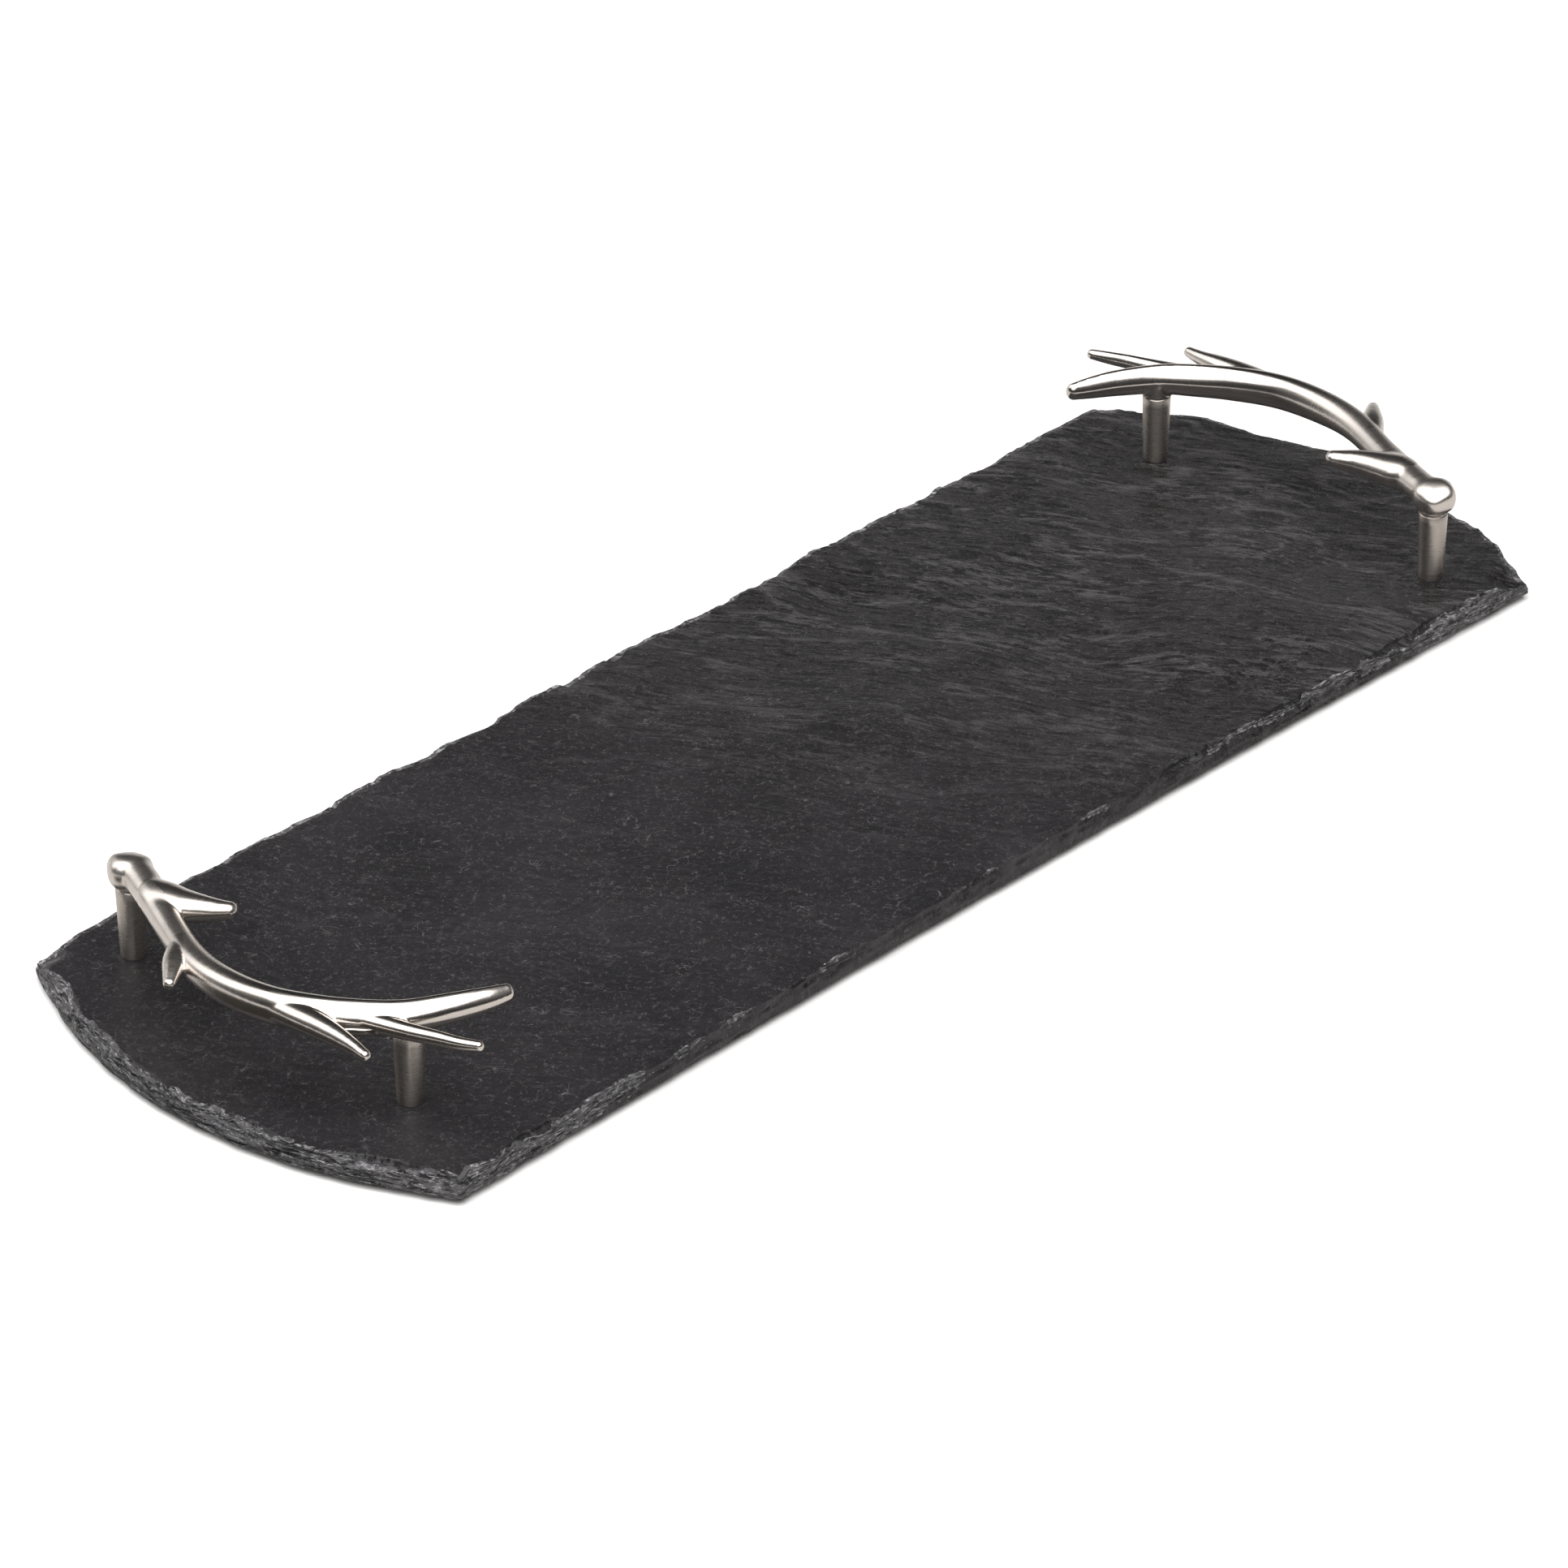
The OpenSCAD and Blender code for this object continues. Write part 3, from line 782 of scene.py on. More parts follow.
@dataclass(frozen=True)
class MattRubber(Finish):
    """Moulded black rubber: dull, with a faint bloom of dust."""

    title: str = "matt_rubber"
    colour: str = "#1c1c1d"
    bloom: str = "#2c2b2b"
    dust_mm: float = 2.5
    grain_mm: float = 0.35
    grain_depth_mm: float = 0.03
    roughness: float = 0.72

    def surface(self, add: NodeAdder) -> bpy.types.Node:
        """Adds the feet's nodes.

        Args:
            add: Adds a node to the tree.

        Returns:
            The shader.
        """
        place = add("TexCoord").outputs["Object"]
        dust = add("TexNoise", {"Scale": 1 / (self.dust_mm * MM), "Detail": 4.0}, {"Vector": place})
        grain = add("TexNoise", {"Scale": 1 / (self.grain_mm * MM), "Detail": 2.0}, {"Vector": place})
        tones = {COLOUR_A: linear_colour(self.colour), COLOUR_B: linear_colour(self.bloom)}
        colour = add("Mix", {"data_type": "RGBA", **tones}, {FACTOR: dust})
        bump = add("Bump", {"Strength": 0.6, "Distance": self.grain_depth_mm * MM}, {"Height": grain})
        return add("BsdfPrincipled", {"Roughness": self.roughness}, {"Base Color": colour, "Normal": bump})


@dataclass(frozen=True)
class PaleFloor(Finish):
    """Matt studio paper, near white to the camera. Reflections see it painted greyer, with a painted dark
    patch by the left end.
    """

    title: str = "pale_floor"
    colour: str = "#fbfbfb"
    mirrored: str = "#d0cecc"
    reflected_patch: str = "#33312f"
    reflected_patch_place: tuple[float, float, float] = (-0.42, -0.02, 0.0)
    reflected_patch_r_m: float = 0.16

    def surface(self, add: NodeAdder) -> bpy.types.Node:
        """Adds the floor's nodes.

        Args:
            add: Adds a node to the tree.

        Returns:
            The shader.
        """
        place = add("TexCoord").outputs["Object"]
        # A painted dark patch by the left end, which only reflections see
        away = add("VectorMath", {"operation": "DISTANCE", 1: self.reflected_patch_place}, {0: place})
        rim = {"From Min": self.reflected_patch_r_m, "From Max": self.reflected_patch_r_m * 0.8}
        reflected_patch = add("MapRange", {"interpolation_type": "SMOOTHSTEP", **rim}, {"Value": away})
        tones = {COLOUR_A: linear_colour(self.mirrored), COLOUR_B: linear_colour(self.reflected_patch)}
        mirrored = add("Mix", {"data_type": "RGBA", **tones}, {FACTOR: reflected_patch})
        # The camera sees plain white, and other rays the painted grey and dark patch
        seen = add("LightPath").outputs["Is Camera Ray"]
        plain = {"data_type": "RGBA", COLOUR_B: linear_colour(self.colour)}
        colour = add("Mix", plain, {FACTOR: seen, COLOUR_A: mirrored})
        return add("BsdfDiffuse", {}, {"Color": colour})


# The slate


@dataclass
class EdgeWork:
    """What dressing the edges does to each point: moves and lengths are in millimetres."""

    moves: np.ndarray
    broken: np.ndarray
    nearest: np.ndarray
    dig: np.ndarray
    scar: np.ndarray


@dataclass
class SlateSlab:
    """The hand-dressed slab: a cleft face, chipped and layered edges and bowed ends."""

    length_mm: float = 600.0
    width_mm: float = 203.0
    thickness_mm: float = 8.0
    bottom_mm: float = 2.5
    end_bow_mm: float = 29.0
    skew_mm: float = 3.5
    front_hollow_mm: float = 3.0
    bevel_mm: float = 2.4
    flake_mm: float = 1.9
    flake_spacing_mm: float = 16.0
    corner_round_mm: float = 7.0
    # Small flakes: half length, depth as a share, and the half length that gives the full depth
    flake_half_mm: tuple[float, float] = (4, 17)
    flake_share: tuple[float, float] = (0.25, 1)
    flake_full_mm: float = 13
    # The layers that the edge breaks off in, and the sizes of its unevenness: the nibbled line, the
    # levels of the layers, each layer's line, the brinks of large flakes and the struck corners
    layers: int = 6
    nibble_mm: float = 9.0
    level_mm: float = 30.0
    step_mm: float = 14.0
    brink_rough_mm: float = 7.0
    corner_rough_mm: float = 9.0
    # How far in from the border the dressing reaches, and how far the finer cells do
    dressed_mm: float = 16.0
    fine_mm: float = 8.0
    # A large flake's scar: its brink, its deepest point, and its depth as shares of its reach
    brink_mm: float = 1.1
    scar_depth_mm: float = 1.9
    scar_fall: float = 0.35
    scar_slope: float = 0.12
    # Large flakes: side, middle along it, half length and reach inwards
    large_flakes: Sequence[tuple[Side, float, float, float]] = (
        (Side.FRONT, 92.0, 25.0, 5.4),
        (Side.FRONT, 138.0, 22.0, 4.2),
        (Side.FRONT, 214.0, 40.0, 4.6),
        (Side.FRONT, 30.0, 14.0, 3.0),
        (Side.FRONT, -110.0, 17.0, 2.8),
        (Side.FRONT, -232.0, 22.0, 4.0),
        (Side.LEFT_END, -78.0, 20.0, 4.6),
        (Side.LEFT_END, -30.0, 16.0, 3.2),
        (Side.LEFT_END, 20.0, 18.0, 2.8),
        (Side.LEFT_END, 74.0, 14.0, 3.4),
        (Side.BACK, -190.0, 24.0, 3.6),
        (Side.BACK, -60.0, 18.0, 3.0),
        (Side.BACK, 76.0, 26.0, 3.2),
        (Side.BACK, 200.0, 16.0, 3.4),
        (Side.RIGHT_END, -92.0, 12.0, 6.0),
        (Side.RIGHT_END, -40.0, 20.0, 2.6),
        (Side.RIGHT_END, 36.0, 22.0, 3.0),
        (Side.RIGHT_END, 84.0, 12.0, 3.6),
    )
    # Corners that were struck off thin: end, place across, reach and depth
    struck_corners: Sequence[tuple[float, float, float, float]] = (
        (1.0, -101.0, 15.0, 4.6),
        (-1.0, 101.0, 11.0, 3.0),
        (1.0, 101.0, 10.0, 2.6),
    )
    # The ripple marks: least share, and where they start and are full along the board
    ripple_least: float = 0.18
    ripple_start_mm: float = -85.0
    ripple_full_mm: float = 145.0
    # Cleft relief: turn of the grain, then size and depth of its slow swell, plates, waves and rim
    relief_turn_deg: float = -58.0
    swell_mm: float = 90.0
    swell_depth_mm: float = 0.22
    plate_mm: float = 26.0
    plate_depth_mm: float = 0.28
    wave_mm: float = 7.0
    wave_depth_mm: float = 0.5
    rim_mm: float = 7.0
    rim_depth_mm: float = 0.5
    rim_rough_mm: float = 12.0
    relief_mean_mm: float = 0.35
    relief_most_mm: float = 1.4
    # The face is ground flat round each post out to the first radius, and untouched past the second
    flat_r_mm: tuple[float, float] = (6.5, 13.0)
    # Margins inside the CAD box, along X and Y
    margin_mm: tuple[float, float] = (0.3, 0.1)
    cells_along: int = 360
    cells_across: int = 122
    wall_steps: int = 5
    recess_r_mm: float = 6.1
    recess_depth_mm: float = 3.5
    screw_hole_r_mm: float = 2.3
    overcut_mm: float = 1.0
    hole_sides: int = 64
    sharp_deg: float = 50.0

    def blank(self) -> bpy.types.Object:
        """Models a flat slab as a fine grid with walls and a floor, 2 units across each way.

        Returns:
            The slab, whose z holds the level from 0 at the bottom to 1 at the top.
        """
        deselect_all()
        bpy.ops.mesh.primitive_grid_add(
            x_subdivisions=self.cells_along, y_subdivisions=self.cells_across, size=2, location=(0, 0, 1)
        )
        slab = bpy.context.object
        slab.name = "slate_slab"
        rest_place(slab)
        bpy.ops.object.mode_set(mode="EDIT")
        bpy.ops.mesh.select_all(action="SELECT")
        bpy.ops.mesh.region_to_loop()
        for _ in range(self.wall_steps):
            bpy.ops.mesh.extrude_edges_move(TRANSFORM_OT_translate={"value": (0, 0, -1 / self.wall_steps)})
        bpy.ops.mesh.edge_face_add()
        self.divide_underside()
        bpy.ops.object.mode_set(mode="OBJECT")
        self.refine_border(slab)
        return slab

    def divide_underside(self) -> None:
        """Cuts the selected floor of the blank into cells, along lines that meet the walls' own points."""
        bpy.ops.mesh.hide(unselected=True)
        for way, cells in (((1, 0, 0), self.cells_along), ((0, 1, 0), self.cells_across)):
            for cell in sorted({2, 5, cells - 5, cells - 2, *range(15, cells - 8, 10)}):
                place = 2 * cell / cells - 1
                bpy.ops.mesh.select_all(action="SELECT")
                bpy.ops.mesh.bisect(plane_co=(place * way[0], place * way[1], 0), plane_no=way)
        bpy.ops.mesh.reveal()

    def refine_border(self, slab: bpy.types.Object) -> None:
        """Halves the cells of the walls and of the face within a few millimetres of the border.

        Args:
            slab: The blank.
        """
        band_u = 1 - self.fine_mm / (self.length_mm / 2)
        band_v = 1 - self.fine_mm / (self.width_mm / 2)
        bpy.context.tool_settings.mesh_select_mode = (False, False, True)
        bpy.ops.object.mode_set(mode="EDIT")
        bpy.ops.mesh.select_all(action="DESELECT")
        bpy.ops.object.mode_set(mode="OBJECT")
        for face in slab.data.polygons:
            c = face.center
            face.select = len(face.vertices) == 4 and (abs(c.x) > band_u or abs(c.y) > band_v)
        bpy.ops.object.mode_set(mode="EDIT")
        bpy.ops.mesh.subdivide(number_cuts=1)
        bpy.ops.mesh.select_all(action="SELECT")
        bpy.ops.mesh.normals_make_consistent(inside=False)
        bpy.ops.object.mode_set(mode="OBJECT")
        bpy.context.tool_settings.mesh_select_mode = (True, False, False)

    def flakes(self, run: np.ndarray, side: Side) -> np.ndarray:
        """Scallops struck off the upper edge, as a share from 0 to 1 along one side.

        Args:
            run: Place along the side in millimetres.
            side: The side.

        Returns:
            The depth of the flake there, as a share.
        """
        rng = np.random.default_rng(100 + side.value)
        count = max(8, int(np.ptp(run) / self.flake_spacing_mm))
        middles = rng.uniform(run.min() - 10, run.max() + 10, count)
        halves = rng.uniform(*self.flake_half_mm, count)
        depths = rng.uniform(*self.flake_share, count) * np.clip(halves / self.flake_full_mm, 0.4, 1)
        best = np.zeros(len(run))
        for middle, half, depth in zip(middles, halves, depths):
            part = np.clip(np.abs(run - middle) / half, 0, 1)
            best = np.maximum(best, depth * np.sqrt(1 - part * part))
        return best

    def scars(self, run: np.ndarray, side: Side) -> np.ndarray:
        """How far large flakes reach in from one side, in millimetres.

        Args:
            run: Place along the side in millimetres.
            side: The side.

        Returns:
            The reach of the flake there, or 0 between the flakes.
        """
        reach = np.zeros(len(run))
        for flake_side, middle, half, deep in self.large_flakes:
            if side is flake_side:
                part = np.clip(np.abs(run - middle) / half, 0, 1)
                reach = np.maximum(reach, deep * (1 - part**2.5))
        return reach * (1 + 0.35 * fractal(columns(run, 0, side.value), self.brink_rough_mm, 3))

    def set_in(self, run: np.ndarray, level: np.ndarray, side: Side) -> np.ndarray:
        """How far the dressed edge lies inside the outline, in millimetres.

        Args:
            run: Place along the side in millimetres.
            level: Height in the wall, from 0 at the bottom to 1 at the top.
            side: The side.

        Returns:
            The distance, never less than a tenth of a millimetre.
        """
        salt = side.value
        slope = self.bevel_mm * (0.06 * (1 - level) ** 3 + 0.45 * level**1.6)
        nibble = 0.15 + fractal(columns(run, level * 3, salt), self.nibble_mm, 3)
        # Each layer of the stone breaks off along its own line, from noise that lies far from the last
        layer = np.floor(level * self.layers + 0.6 * fractal(columns(run, 0, 0), self.level_mm, 2, salt))
        step = 0.15 + fractal(columns(run, layer * 17.0, salt + 5), self.step_mm, 3)
        chips = self.flakes(run, side) * self.flake_mm * smoothstep(0.25, 0.95, level)
        return np.clip(slope + 0.55 * nibble + (0.5 + 0.9 * level) * step + chips, 0.1, None)

    def dressing(
        self, u: np.ndarray, v: np.ndarray, x: np.ndarray, y: np.ndarray, level: np.ndarray
    ) -> EdgeWork:
        """Works out how the edges are dressed.

        Args:
            u: Place along the blank, from -1 to 1.
            v: Place across the blank, from -1 to 1.
            x: Place along the board in millimetres.
            y: Place across the board in millimetres.
            level: Height in the slab, from 0 at the bottom to 1 at the top.

        Returns:
            What it does to each point.
        """
        half_w, half_l = self.width_mm / 2, self.length_mm / 2
        corner_x = half_l - self.end_bow_mm
        lean = 2 * self.end_bow_mm * v / half_w
        steep = 1 / np.hypot(1, lean)
        count = len(u)
        work = EdgeWork(
            np.zeros((count, 2)), np.zeros(count), np.full(count, np.inf), np.zeros(count), np.zeros(count)
        )
        # Each side: the distance to it, the place along it, its length from the middle, and the way in
        sides = {
            Side.BACK: (half_w - y, x, corner_x, 0.0, -1.0),
            Side.FRONT: (y + half_w, x, corner_x, 0.0, 1.0),
            Side.RIGHT_END: ((1 - u) * half_l * steep, y, half_w, -steep, -lean * steep),
            Side.LEFT_END: ((1 + u) * half_l * steep, y, half_w, steep, -lean * steep),
        }
        for side, (away, run, half_run, way_x, way_y) in sides.items():
            gap = np.clip(away, 0, None)
            near = gap < self.dressed_mm
            fall = np.where(near, (1 - gap / self.dressed_mm) ** 2, 0)
            amount = np.zeros(count)
            amount[near] = self.set_in(run[near], level[near], side)
            amount *= 1 - 0.6 * smoothstep(self.corner_round_mm, 0, half_run - np.abs(run))
            depth = self.scars(run, side)
            inside = np.where(near, smoothstep(0, self.brink_mm, depth - gap), 0)
            dig = inside * (self.scar_fall * depth + self.scar_slope * (depth - gap))
            work.scar = np.maximum(work.scar, inside)
            work.dig = np.maximum(work.dig, np.clip(dig, 0, self.scar_depth_mm))
            work.moves[:, 0] += way_x * amount * fall
            work.moves[:, 1] += way_y * amount * fall
            work.broken = np.maximum(work.broken, np.where(near, 1 - gap / (2.0 + 1.4 * amount), 0))
            work.nearest = np.minimum(work.nearest, gap)
        for end_way, corner_y, reach, deep in self.struck_corners:
            away = np.hypot(x - end_way * corner_x, y - corner_y)
            away += 2.0 * fractal(columns(x, y, 0), self.corner_rough_mm, 2)
            work.dig = np.maximum(work.dig, deep * smoothstep(reach, 1.0, away))
        return work

    def shape(self, slab: bpy.types.Object) -> None:
        """Bends the blank to the outline, dresses its edges and gives the face its cleft relief.

        Args:
            slab: The blank.
        """
        p = points_of(slab)
        u, v, level = p[:, 0], p[:, 1], np.clip(p[:, 2], 0, 1)
        half_l = self.length_mm / 2
        reach = half_l - self.end_bow_mm * v * v - np.where(u > 0, self.skew_mm * v, 0) * np.abs(u)
        x = u * reach
        hollow = self.front_hollow_mm * np.clip(1 - (x / (half_l - self.end_bow_mm)) ** 2, 0, 1)
        y = v * self.width_mm / 2 + hollow * np.clip(-v, 0, 1) ** 2
        work = self.dressing(u, v, x, y, level)
        x, y = (
            np.clip(place + work.moves[:, k], CAD_BOX[0][k] / MM + margin, CAD_BOX[1][k] / MM - margin)
            for k, (place, margin) in enumerate(zip((x, y), self.margin_mm))
        )
        broken = np.clip(np.where(work.nearest < 1e-3, 1.0, work.broken), 0, 1)

        ripple = smoothstep(self.ripple_start_mm, self.ripple_full_mm, x + 0.5 * y)
        drop = self.relief(columns(x, y, 0), ripple, work.nearest) + work.dig
        z = self.bottom_mm + level * self.thickness_mm - level * drop
        move_points(slab, columns(x, y, z) * MM)
        store(slab, "broken", broken)
        store(slab, "ripple", self.ripple_least + (1 - self.ripple_least) * ripple)
        store(slab, "scar", np.where(level > 0, work.scar, 0.0))

    def relief(self, flat: np.ndarray, ripple: np.ndarray, nearest: np.ndarray) -> np.ndarray:
        """How far the cleft face lies under the serving level, in millimetres.

        Args:
            flat: Points in plan, in millimetres.
            ripple: Share of the ripple marks, from 0 to 1.
            nearest: Distance to the border.

        Returns:
            The depth, which is nothing where a post stands.
        """
        turn = math.radians(self.relief_turn_deg)
        along = flat[:, 0] * math.cos(turn) + flat[:, 1] * math.sin(turn)
        across = -flat[:, 0] * math.sin(turn) + flat[:, 1] * math.cos(turn)
        swell = self.swell_depth_mm * fractal(flat, self.swell_mm, 3)
        plates = 4 * fractal(columns(along / 2.2, across, 0), self.plate_mm, 4, 3.1)
        terrace = (np.floor(plates) + smoothstep(0.82, 1.0, plates % 1)) / 4
        waves = np.abs(fractal(columns(along / 6, across, 0), self.wave_mm, 3, 9.7))
        drop = self.relief_mean_mm + swell - self.plate_depth_mm * terrace * (0.35 + 0.65 * ripple)
        drop = np.clip(drop - self.wave_depth_mm * waves * ripple, 0.0, self.relief_most_mm)
        rim = np.clip(1 - nearest / self.rim_mm, 0, 1) ** 1.5
        drop += self.rim_depth_mm * rim * (0.5 + fractal(flat, self.rim_rough_mm, 3, 5.0))
        clear = np.ones(len(flat))
        for end in End:
            for post in Post:
                away = np.linalg.norm(flat[:, :2] - PLAN.place(end, post), axis=1)
                clear = np.minimum(clear, smoothstep(*self.flat_r_mm, away))
        return np.clip(drop, 0, None) * clear

    def build(self) -> list[bpy.types.Object]:
        """Models the slab, drills its recesses and screw holes and dresses it.

        Returns:
            The slab, as the only piece.
        """
        slab = self.blank()
        self.shape(slab)
        recess = (self.recess_r_mm, self.recess_depth_mm)
        screw_hole = (self.screw_hole_r_mm, self.thickness_mm + self.overcut_mm)
        for end in End:
            for post in Post:
                x, y = PLAN.place(end, post)
                for radius, depth in (recess, screw_hole):
                    low, high = (self.bottom_mm - self.overcut_mm) * MM, (self.bottom_mm + depth) * MM
                    drill(slab, radius * MM, low, high, (x * MM, y * MM), self.hole_sides)
        finish_piece(slab, self.sharp_deg, CleftSlate().build(), "slate_board")
        return [slab]


# The antler castings


@dataclass(frozen=True)
class Tine:
    """One tine: where it leaves the beam as a share of the beam, its length and its polish.

    Its rows are along the posts' line, outwards, up, half width and half depth. The first three are
    shares of its length, and the others of half the beam's width.
    """

    name: str
    start: float
    length_mm: float
    polish: float
    rows: Sequence[Sequence[float]]


BROW = Tine(
    "brow",
    0.177,
    32.0,
    0.45,
    (
        (0, 0, 0, 1.05, 0.95),
        (-0.2, 0.01, 0, 1.42, 1.02),
        (-0.43, -0.05, 0, 1.2, 0.92),
        (-0.66, -0.15, 0.01, 0.88, 0.78),
        (-0.82, -0.24, 0.02, 0.7, 0.64),
        (-0.93, -0.31, 0.03, 0.56, 0.54),
    ),
)
SHORT = Tine(
    "short",
    0.29,
    25.0,
    0.3,
    (
        (0, 0, 0, 0.85, 0.76),
        (-0.25, 0.35, 0.03, 0.8, 0.66),
        (-0.44, 0.6, 0.03, 0.58, 0.52),
        (-0.59, 0.79, 0.02, 0.4, 0.36),
    ),
)
MIDDLE = Tine(
    "middle",
    0.5,
    47.0,
    0.6,
    (
        (0, 0, 0, 0.86, 0.86),
        (-0.3, -0.01, 0.02, 0.9, 0.76),
        (-0.56, -0.01, 0.02, 0.72, 0.66),
        (-0.8, 0, 0.01, 0.48, 0.48),
        (-0.95, 0.02, 0.005, 0.36, 0.36),
    ),
)
FORK = Tine(
    "fork",
    0.63,
    48.0,
    0.8,
    (
        (0, 0, 0, 0.7, 0.66),
        (-0.23, -0.07, 0.01, 0.64, 0.58),
        (-0.47, -0.145, 0.01, 0.52, 0.5),
        (-0.65, -0.206, 0.012, 0.44, 0.47),
        (-0.8, -0.26, 0.012, 0.38, 0.42),
        (-0.927, -0.317, 0.02, 0.32, 0.34),
    ),
)


@dataclass
class AntlerHandle:
    """A cast antler: a bowed beam with a burr at its thick end, four tines and a tapering tip."""

    seat_mm: float = 37.0
    bow_mm: float = 27.0
    width_mm: float = 11.4
    depth_mm: float = 13.0
    rise_mm: float = 7.4
    tip_reach_mm: float = 31.0
    burr_d_mm: float = 15.2
    burr_height_mm: float = 12.6
    # The burr's spread, the power that makes it fuller than a ball, its lobes and their depth
    burr_spread: float = 1.07
    burr_fullness: float = 2.4
    burr_lobes: int = 5
    lobe_depth: float = 0.03
    point_r_mm: float = 1.4
    boss_d_mm: float = 10.6
    boss_height_mm: float = 5.2
    boss_taper: float = 0.89
    bore_r_mm: float = 2.05
    bore_depth_mm: float = 9.1
    bore_start_mm: float = -3.0
    ridge_shift: float = 0.14
    # How finely the limbs are divided, round them, along them and over their tips
    sides: int = 64
    beam_steps: int = 150
    tine_steps: int = 50
    groove_steps: int = 24
    domes: int = 8
    voxel_mm: float = 0.42
    sharp_deg: float = 40.0
    # The top is held down softly over its last millimetre, to stay inside the CAD box
    crown_mm: float = 1.0
    crown_give_mm: float = 0.95
    # Polish: its stretch of the beam, and the share of the satin brushing that it takes away
    polish_span: tuple[float, float] = (0.35, 0.62)
    polish_share: float = 0.55
    # The hollow behind the fork: its stretch of the beam, drop below the middle, half width and half depth
    groove_span: tuple[float, float] = (0.575, 0.7)
    groove_drop_mm: float = 1.1
    groove_half_mm: tuple[float, float] = (2.3, 1.5)
    groove_rough_mm: float = 6.0
    # The oval face on the burr: the way it looks, how far out it starts and how flat it is pressed
    facet_way: tuple[float, float, float] = (0.42, 0.28, 0.86)
    facet_away_mm: float = 4.7
    facet_press: float = 0.45
    # How often the surface is smoothed: where limbs meet, at the face's border, and all over
    blend_rounds: int = 90
    facet_rounds: int = 36
    last_rounds: int = 4
    # Where limbs flow together, and where the face's border does: place, reach and strength
    blends: Sequence[tuple[float, float, float, float, float]] = (
        (1.0, 60.0, 7.5, 12.0, 1.0),
        (4.0, 49.0, 7.5, 13.0, 1.0),
        (9.0, 39.0, 7.5, 9.0, 0.7),
        (-10.0, 42.0, 6.5, 8.0, 0.7),
        (0.0, -66.0, 2.6, 7.5, 0.3),
    )
    facet_blends: Sequence[tuple[float, float, float, float, float]] = ((3.0, 66.0, 10.0, 12.0, 1.0),)
    # Rows: along the posts' line, bow outwards, height of the middle, width and depth
    beam: Sequence[Sequence[float]] = (
        (1.06, -0.1, 0.98, 0.98, 0.74),
        (0.98, -0.02, 0.95, 1.04, 0.8),
        (0.8, 0.15, 0.86, 1.02, 0.79),
        (0.46, 0.54, 0.66, 0.9, 0.76),
        (0.13, 0.885, 0.66, 0.96, 0.84),
        (-0.15, 0.99, 0.66, 1, 0.95),
        (-0.43, 0.92, 0.7, 1, 1),
        (-0.68, 0.66, 0.74, 1.04, 1.02),
        (-0.87, 0.34, 0.78, 1.0, 0.99),
        (-1.01, 0.0, 0.86, 0.93, 0.9),
    )
    # The same for the main tip, but its reach inwards in place of the bow
    tip: Sequence[Sequence[float]] = (
        (-1.13, 0.44, 0.95, 0.8, 0.8),
        (-1.2, 0.78, 0.98, 0.66, 0.66),
        (-1.235, 1, 1.0, 0.5, 0.52),
    )
    tines: Sequence[Tine] = (BROW, SHORT, MIDDLE, FORK)

    def on_curve(self, table: np.ndarray, share: float) -> np.ndarray:
        """Finds a row between those of a table, on a smooth curve through them.

        Args:
            table: The rows.
            share: How far through the table, from 0 to 1.

        Returns:
            The row there.
        """
        spans = len(table) - 1
        i = min(int(share * spans), spans - 1)
        t = share * spans - i
        a, b, c, d = (table[min(max(k, 0), spans)] for k in (i - 1, i, i + 1, i + 2))
        square, cube = 2 * a - 5 * b + 4 * c - d, 3 * b - a - 3 * c + d
        return (2 * b + (c - a) * t + square * t * t + cube * t**3) / 2

    def divided(self, table: np.ndarray, steps: int) -> np.ndarray:
        """Rows at even steps on the smooth curve through a table."""
        return np.array([self.on_curve(table, share) for share in np.arange(steps + 1) / steps])

    def beam_table(self) -> np.ndarray:
        """Rows of the beam and of the main tip.

        Returns:
            Place, half width and half depth, in millimetres.
        """
        width, depth, spacing = self.width_mm / 2, self.depth_mm / 2, PLAN.half_spacing_mm
        return np.array(
            [
                (reach * inwards, along * spacing, up * self.rise_mm, wide * width, deep * depth)
                for rows, reach in ((self.beam, -self.bow_mm), (self.tip, self.tip_reach_mm))
                for along, inwards, up, wide, deep in rows
            ]
        )

    def limbs(self) -> dict[str, np.ndarray]:
        """The middle lines of all limbs, finely divided.

        Returns:
            Rows of place, half width and half depth for each limb, by name.
        """
        beam = self.beam_table()
        half = self.width_mm / 2
        made = {"beam": self.divided(beam, self.beam_steps)}
        for tine in self.tines:
            root = self.on_curve(beam, tine.start)
            shares = np.array(tine.rows, float)
            ways = np.stack([-shares[:, 1], shares[:, 0], shares[:, 2]], 1)
            table = np.hstack([root[:3] + ways * tine.length_mm, shares[:, 3:] * half])
            made[tine.name] = self.divided(table, self.tine_steps)
        return made

    def edged(self, name: str, share: np.ndarray) -> np.ndarray:
        """How much a limb's section has flat faces and edges: little by the burr, fully in the tip half.

        Args:
            name: The limb's name.
            share: Place along the limb, from 0 to 1.

        Returns:
            A share from 0, a plain oval, to 1.
        """
        if name == "beam":
            return 0.2 + 0.8 * smoothstep(0.46, 0.64, share) - 0.6 * smoothstep(0.9, 1.0, share)
        if name in (BROW.name, SHORT.name):
            return 0.12 - 0.12 * smoothstep(0.6, 1.0, share)
        return 0.6 - 0.5 * smoothstep(0.75, 1.0, share)

    def section(self, name: str, turn: np.ndarray, share: np.ndarray) -> tuple[np.ndarray, np.ndarray]:
        """A limb's section: an oval whose upper faces flatten towards a ridge.

        Args:
            name: The limb's name.
            turn: Angle round the section, 0 on the inner side and a quarter turn at the top.
            share: Place along the limb, from 0 to 1.

        Returns:
            Places across and up, from -1 to 1.
        """
        edged = self.edged(name, share)
